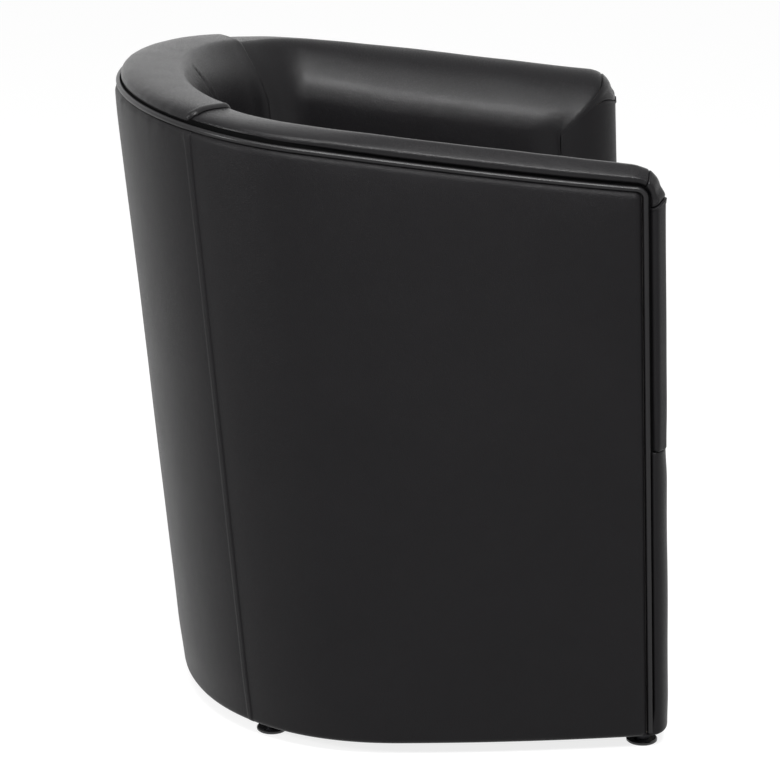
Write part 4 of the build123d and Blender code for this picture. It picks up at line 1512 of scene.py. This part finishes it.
@dataclass
class SeamStitches:
    """Thread of the outside seams, in short sunk stitches along the lapped edge."""

    plan: TubPlan
    panels: OutsidePanels
    pitch: float = 3.4 * MM
    length: float = 2.3 * MM
    radius: float = 0.33 * MM
    from_edge: float = 1.6 * MM

    def build(self) -> None:
        """Builds one line of stitches for each seam."""
        back = self.plan.length("top", True)
        q = np.array([1.0 + self.from_edge / back])
        span = float(self.plan.wall_length(q)[0])
        count = int((span - 22 * MM) / self.pitch)
        for side in Side:
            select_none()
            bpy.ops.mesh.primitive_cylinder_add(vertices=6, radius=self.radius, depth=self.length)
            stitch = bpy.context.object
            in_edit(stitch, lambda: bpy.ops.mesh.bevel(offset=self.radius * 0.6, segments=1))
            one = np.empty(len(stitch.data.vertices) * 3, np.float32)
            stitch.data.vertices.foreach_get("co", one)
            copies = []
            for i in range(count):
                height = 10 * MM + (i + 0.5) * self.pitch
                t = np.array([height / span])
                base = self.plan.wall(q, t)[0]
                out = self.plan.outward(q, t)[0]
                up = self.plan.wall(q, t + 0.01)[0] - base
                up /= np.linalg.norm(up)
                across = np.cross(up, out)
                turn = np.stack([across, out, up], axis=1)
                lift = self.panels.swell * 0.35 + self.panels.lap_height + 0.05 * MM
                points = one.reshape(-1, 3) @ turn.T + base + out * lift
                points[:, 0] *= side.value
                copies.append(points)
            mesh = bpy.data.meshes.new(f"seam_thread_{side.word}")
            faces = [tuple(p.vertices) for p in stitch.data.polygons]
            size = len(one) // 3
            all_faces = [tuple(v + k * size for v in face) for k in range(count) for face in faces]
            mesh.from_pydata([tuple(p) for p in np.concatenate(copies)], [], all_faces)
            piece = bpy.data.objects.new(f"seam_thread_{side.word}", mesh)
            bpy.context.collection.objects.link(piece)
            bpy.data.objects.remove(stitch)
            in_edit(piece, lambda: bpy.ops.mesh.normals_make_consistent(inside=False))
            settle(piece, "thread")


# ---------------------------------------------------------------- CAD nodes that stay


@dataclass
class KeptNodes:
    """CAD nodes that keep their shape and get a better finish."""

    frame: dict[str, Any]

    def build(self) -> None:
        """Dresses every node that stays with the finish of its slot."""
        slots = {slot["node"]: slot["slot"] for slot in self.slots()}
        for name, node in self.frame["nodes"].items():
            finish = slots.get(name)
            if finish not in MATERIALS:
                continue
            for slot in node.material_slots:
                slot.material = MATERIALS[finish]
        LOG.info("dressed %d kept nodes", len(slots))

    def slots(self) -> list[dict[str, str]]:
        """Node and material slot pairs of the record."""
        pairs = []
        for name, node in self.frame["nodes"].items():
            used = [s.material.name.split(".")[0] for s in node.material_slots if s.material]
            if used:
                pairs.append({"node": name, "slot": used[0]})
        return pairs


# ---------------------------------------------------------------- studio


@dataclass
class Studio:
    """Pale floor, soft lights and the camera at the photograph's viewing angle."""

    eye: tuple[float, float, float] = (-3.174, 0.0245, 1.2645)
    pitch: float = 0.2825
    yaw: float = -0.0078
    lens: float = 125.55
    world: float = 0.55

    def camera(self) -> None:
        """Places the camera."""
        data = bpy.data.cameras.new("camera")
        data.sensor_width = 36.0
        data.sensor_fit = "HORIZONTAL"
        data.lens = self.lens
        data.clip_end = 100.0
        view = bpy.data.objects.new("camera", data)
        bpy.context.collection.objects.link(view)
        ahead = Vector(
            (
                math.cos(self.yaw) * math.cos(self.pitch),
                math.sin(self.yaw) * math.cos(self.pitch),
                -math.sin(self.pitch),
            )
        )
        right = Vector((math.sin(self.yaw), -math.cos(self.yaw), 0.0))
        up = right.cross(ahead)
        turn = Matrix((right, up, -ahead)).transposed()
        view.matrix_world = Matrix.Translation(Vector(self.eye)) @ turn.to_4x4()
        bpy.context.scene.camera = view

    def white_when_seen(self, tree: bpy.types.NodeTree) -> bpy.types.NodeSocket:
        """Socket that is 1 for rays that show the background itself."""
        path = tree.nodes.new("ShaderNodeLightPath")
        total = path.outputs["Is Camera Ray"]
        for name in ("Is Glossy Ray", "Is Transmission Ray"):
            add = tree.nodes.new("ShaderNodeMath")
            add.operation = "MAXIMUM"
            tree.links.new(total, add.inputs[0])
            tree.links.new(path.outputs[name], add.inputs[1])
            total = add.outputs[0]
        return total

    def surroundings(self) -> None:
        """Lights the scene evenly and shows white behind the object."""
        world = bpy.data.worlds.new("studio")
        bpy.context.scene.world = world
        world.use_nodes = True
        tree = world.node_tree
        tree.nodes.clear()
        out = tree.nodes.new("ShaderNodeOutputWorld")
        soft, white, mix = (
            tree.nodes.new("ShaderNodeBackground"),
            tree.nodes.new("ShaderNodeBackground"),
            tree.nodes.new("ShaderNodeMixShader"),
        )
        soft.inputs["Strength"].default_value = self.world
        white.inputs["Strength"].default_value = 1.0
        for node in (soft, white):
            node.inputs["Color"].default_value = (1.0, 1.0, 1.0, 1.0)
        tree.links.new(self.white_when_seen(tree), mix.inputs[0])
        tree.links.new(soft.outputs[0], mix.inputs[1])
        tree.links.new(white.outputs[0], mix.inputs[2])
        tree.links.new(mix.outputs[0], out.inputs["Surface"])

    def floor(self) -> None:
        """Lays the pale floor, which keeps the object's shadow."""
        select_none()
        bpy.ops.mesh.primitive_plane_add(size=60.0, location=(0.0, 0.0, 0.0))
        floor = bpy.context.object
        floor.name = "floor"
        material = bpy.data.materials.new("floor")
        material.use_nodes = True
        tree = material.node_tree
        tree.nodes.clear()
        out = tree.nodes.new("ShaderNodeOutputMaterial")
        diffuse = tree.nodes.new("ShaderNodeBsdfDiffuse")
        diffuse.inputs["Color"].default_value = (0.30, 0.30, 0.30, 1.0)
        glow = tree.nodes.new("ShaderNodeEmission")
        times = tree.nodes.new("ShaderNodeMath")
        times.operation = "MULTIPLY"
        times.inputs[1].default_value = 0.80
        tree.links.new(self.white_when_seen(tree), times.inputs[0])
        tree.links.new(times.outputs[0], glow.inputs["Strength"])
        both = tree.nodes.new("ShaderNodeAddShader")
        tree.links.new(diffuse.outputs[0], both.inputs[0])
        tree.links.new(glow.outputs[0], both.inputs[1])
        tree.links.new(both.outputs[0], out.inputs["Surface"])
        floor.data.materials.append(material)

    def lamp(self, name: str, place: tuple[float, float, float], size: float, power: float) -> None:
        """Hangs one square softbox that looks at the chair."""
        data = bpy.data.lights.new(name, "AREA")
        data.shape = "SQUARE"
        data.size = size
        data.energy = power
        lamp = bpy.data.objects.new(name, data)
        bpy.context.collection.objects.link(lamp)
        aim = Vector((0.0, 0.0, 0.4)) - Vector(place)
        lamp.matrix_world = Matrix.Translation(Vector(place)) @ aim.to_track_quat("-Z", "Y").to_matrix().to_4x4()

    def build(self) -> None:
        """Sets up the whole studio."""
        self.camera()
        self.surroundings()
        self.floor()
        self.lamp("overhead", (-1.1, 0.0, 2.5), 1.8, 44.0)
        self.lamp("side", (-2.1, -0.4, 2.25), 0.5, 47.0)
        self.lamp("rear", (-1.6, 2.3, 1.5), 0.5, 40.0)
        scene = bpy.context.scene
        scene.view_settings.view_transform = "Standard"


def main() -> None:
    """Builds the armchair's looks in order."""
    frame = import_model()
    for key, finish in FINISHES.items():
        MATERIALS[key] = finish.material()
    plan = TubPlan()
    corner = ArmCorner(plan)
    panels = OutsidePanels(plan)
    covers = InsideCovers(plan, corner)
    fronts = ArmFronts(plan, corner, covers)
    parts = [
        KeptNodes(frame),
        panels,
        covers,
        fronts,
        Apron(plan, fronts),
        PipingCord(plan, corner),
        SeatCushion(plan, covers),
        SeamStitches(plan, panels),
        Studio(),
    ]
    for part in parts:
        LOG.info("building %s", type(part).__name__)
        part.build()
    select_none()


if __name__ == "__main__":
    logging.basicConfig(level=logging.INFO, format="%(name)s: %(message)s")
    main()
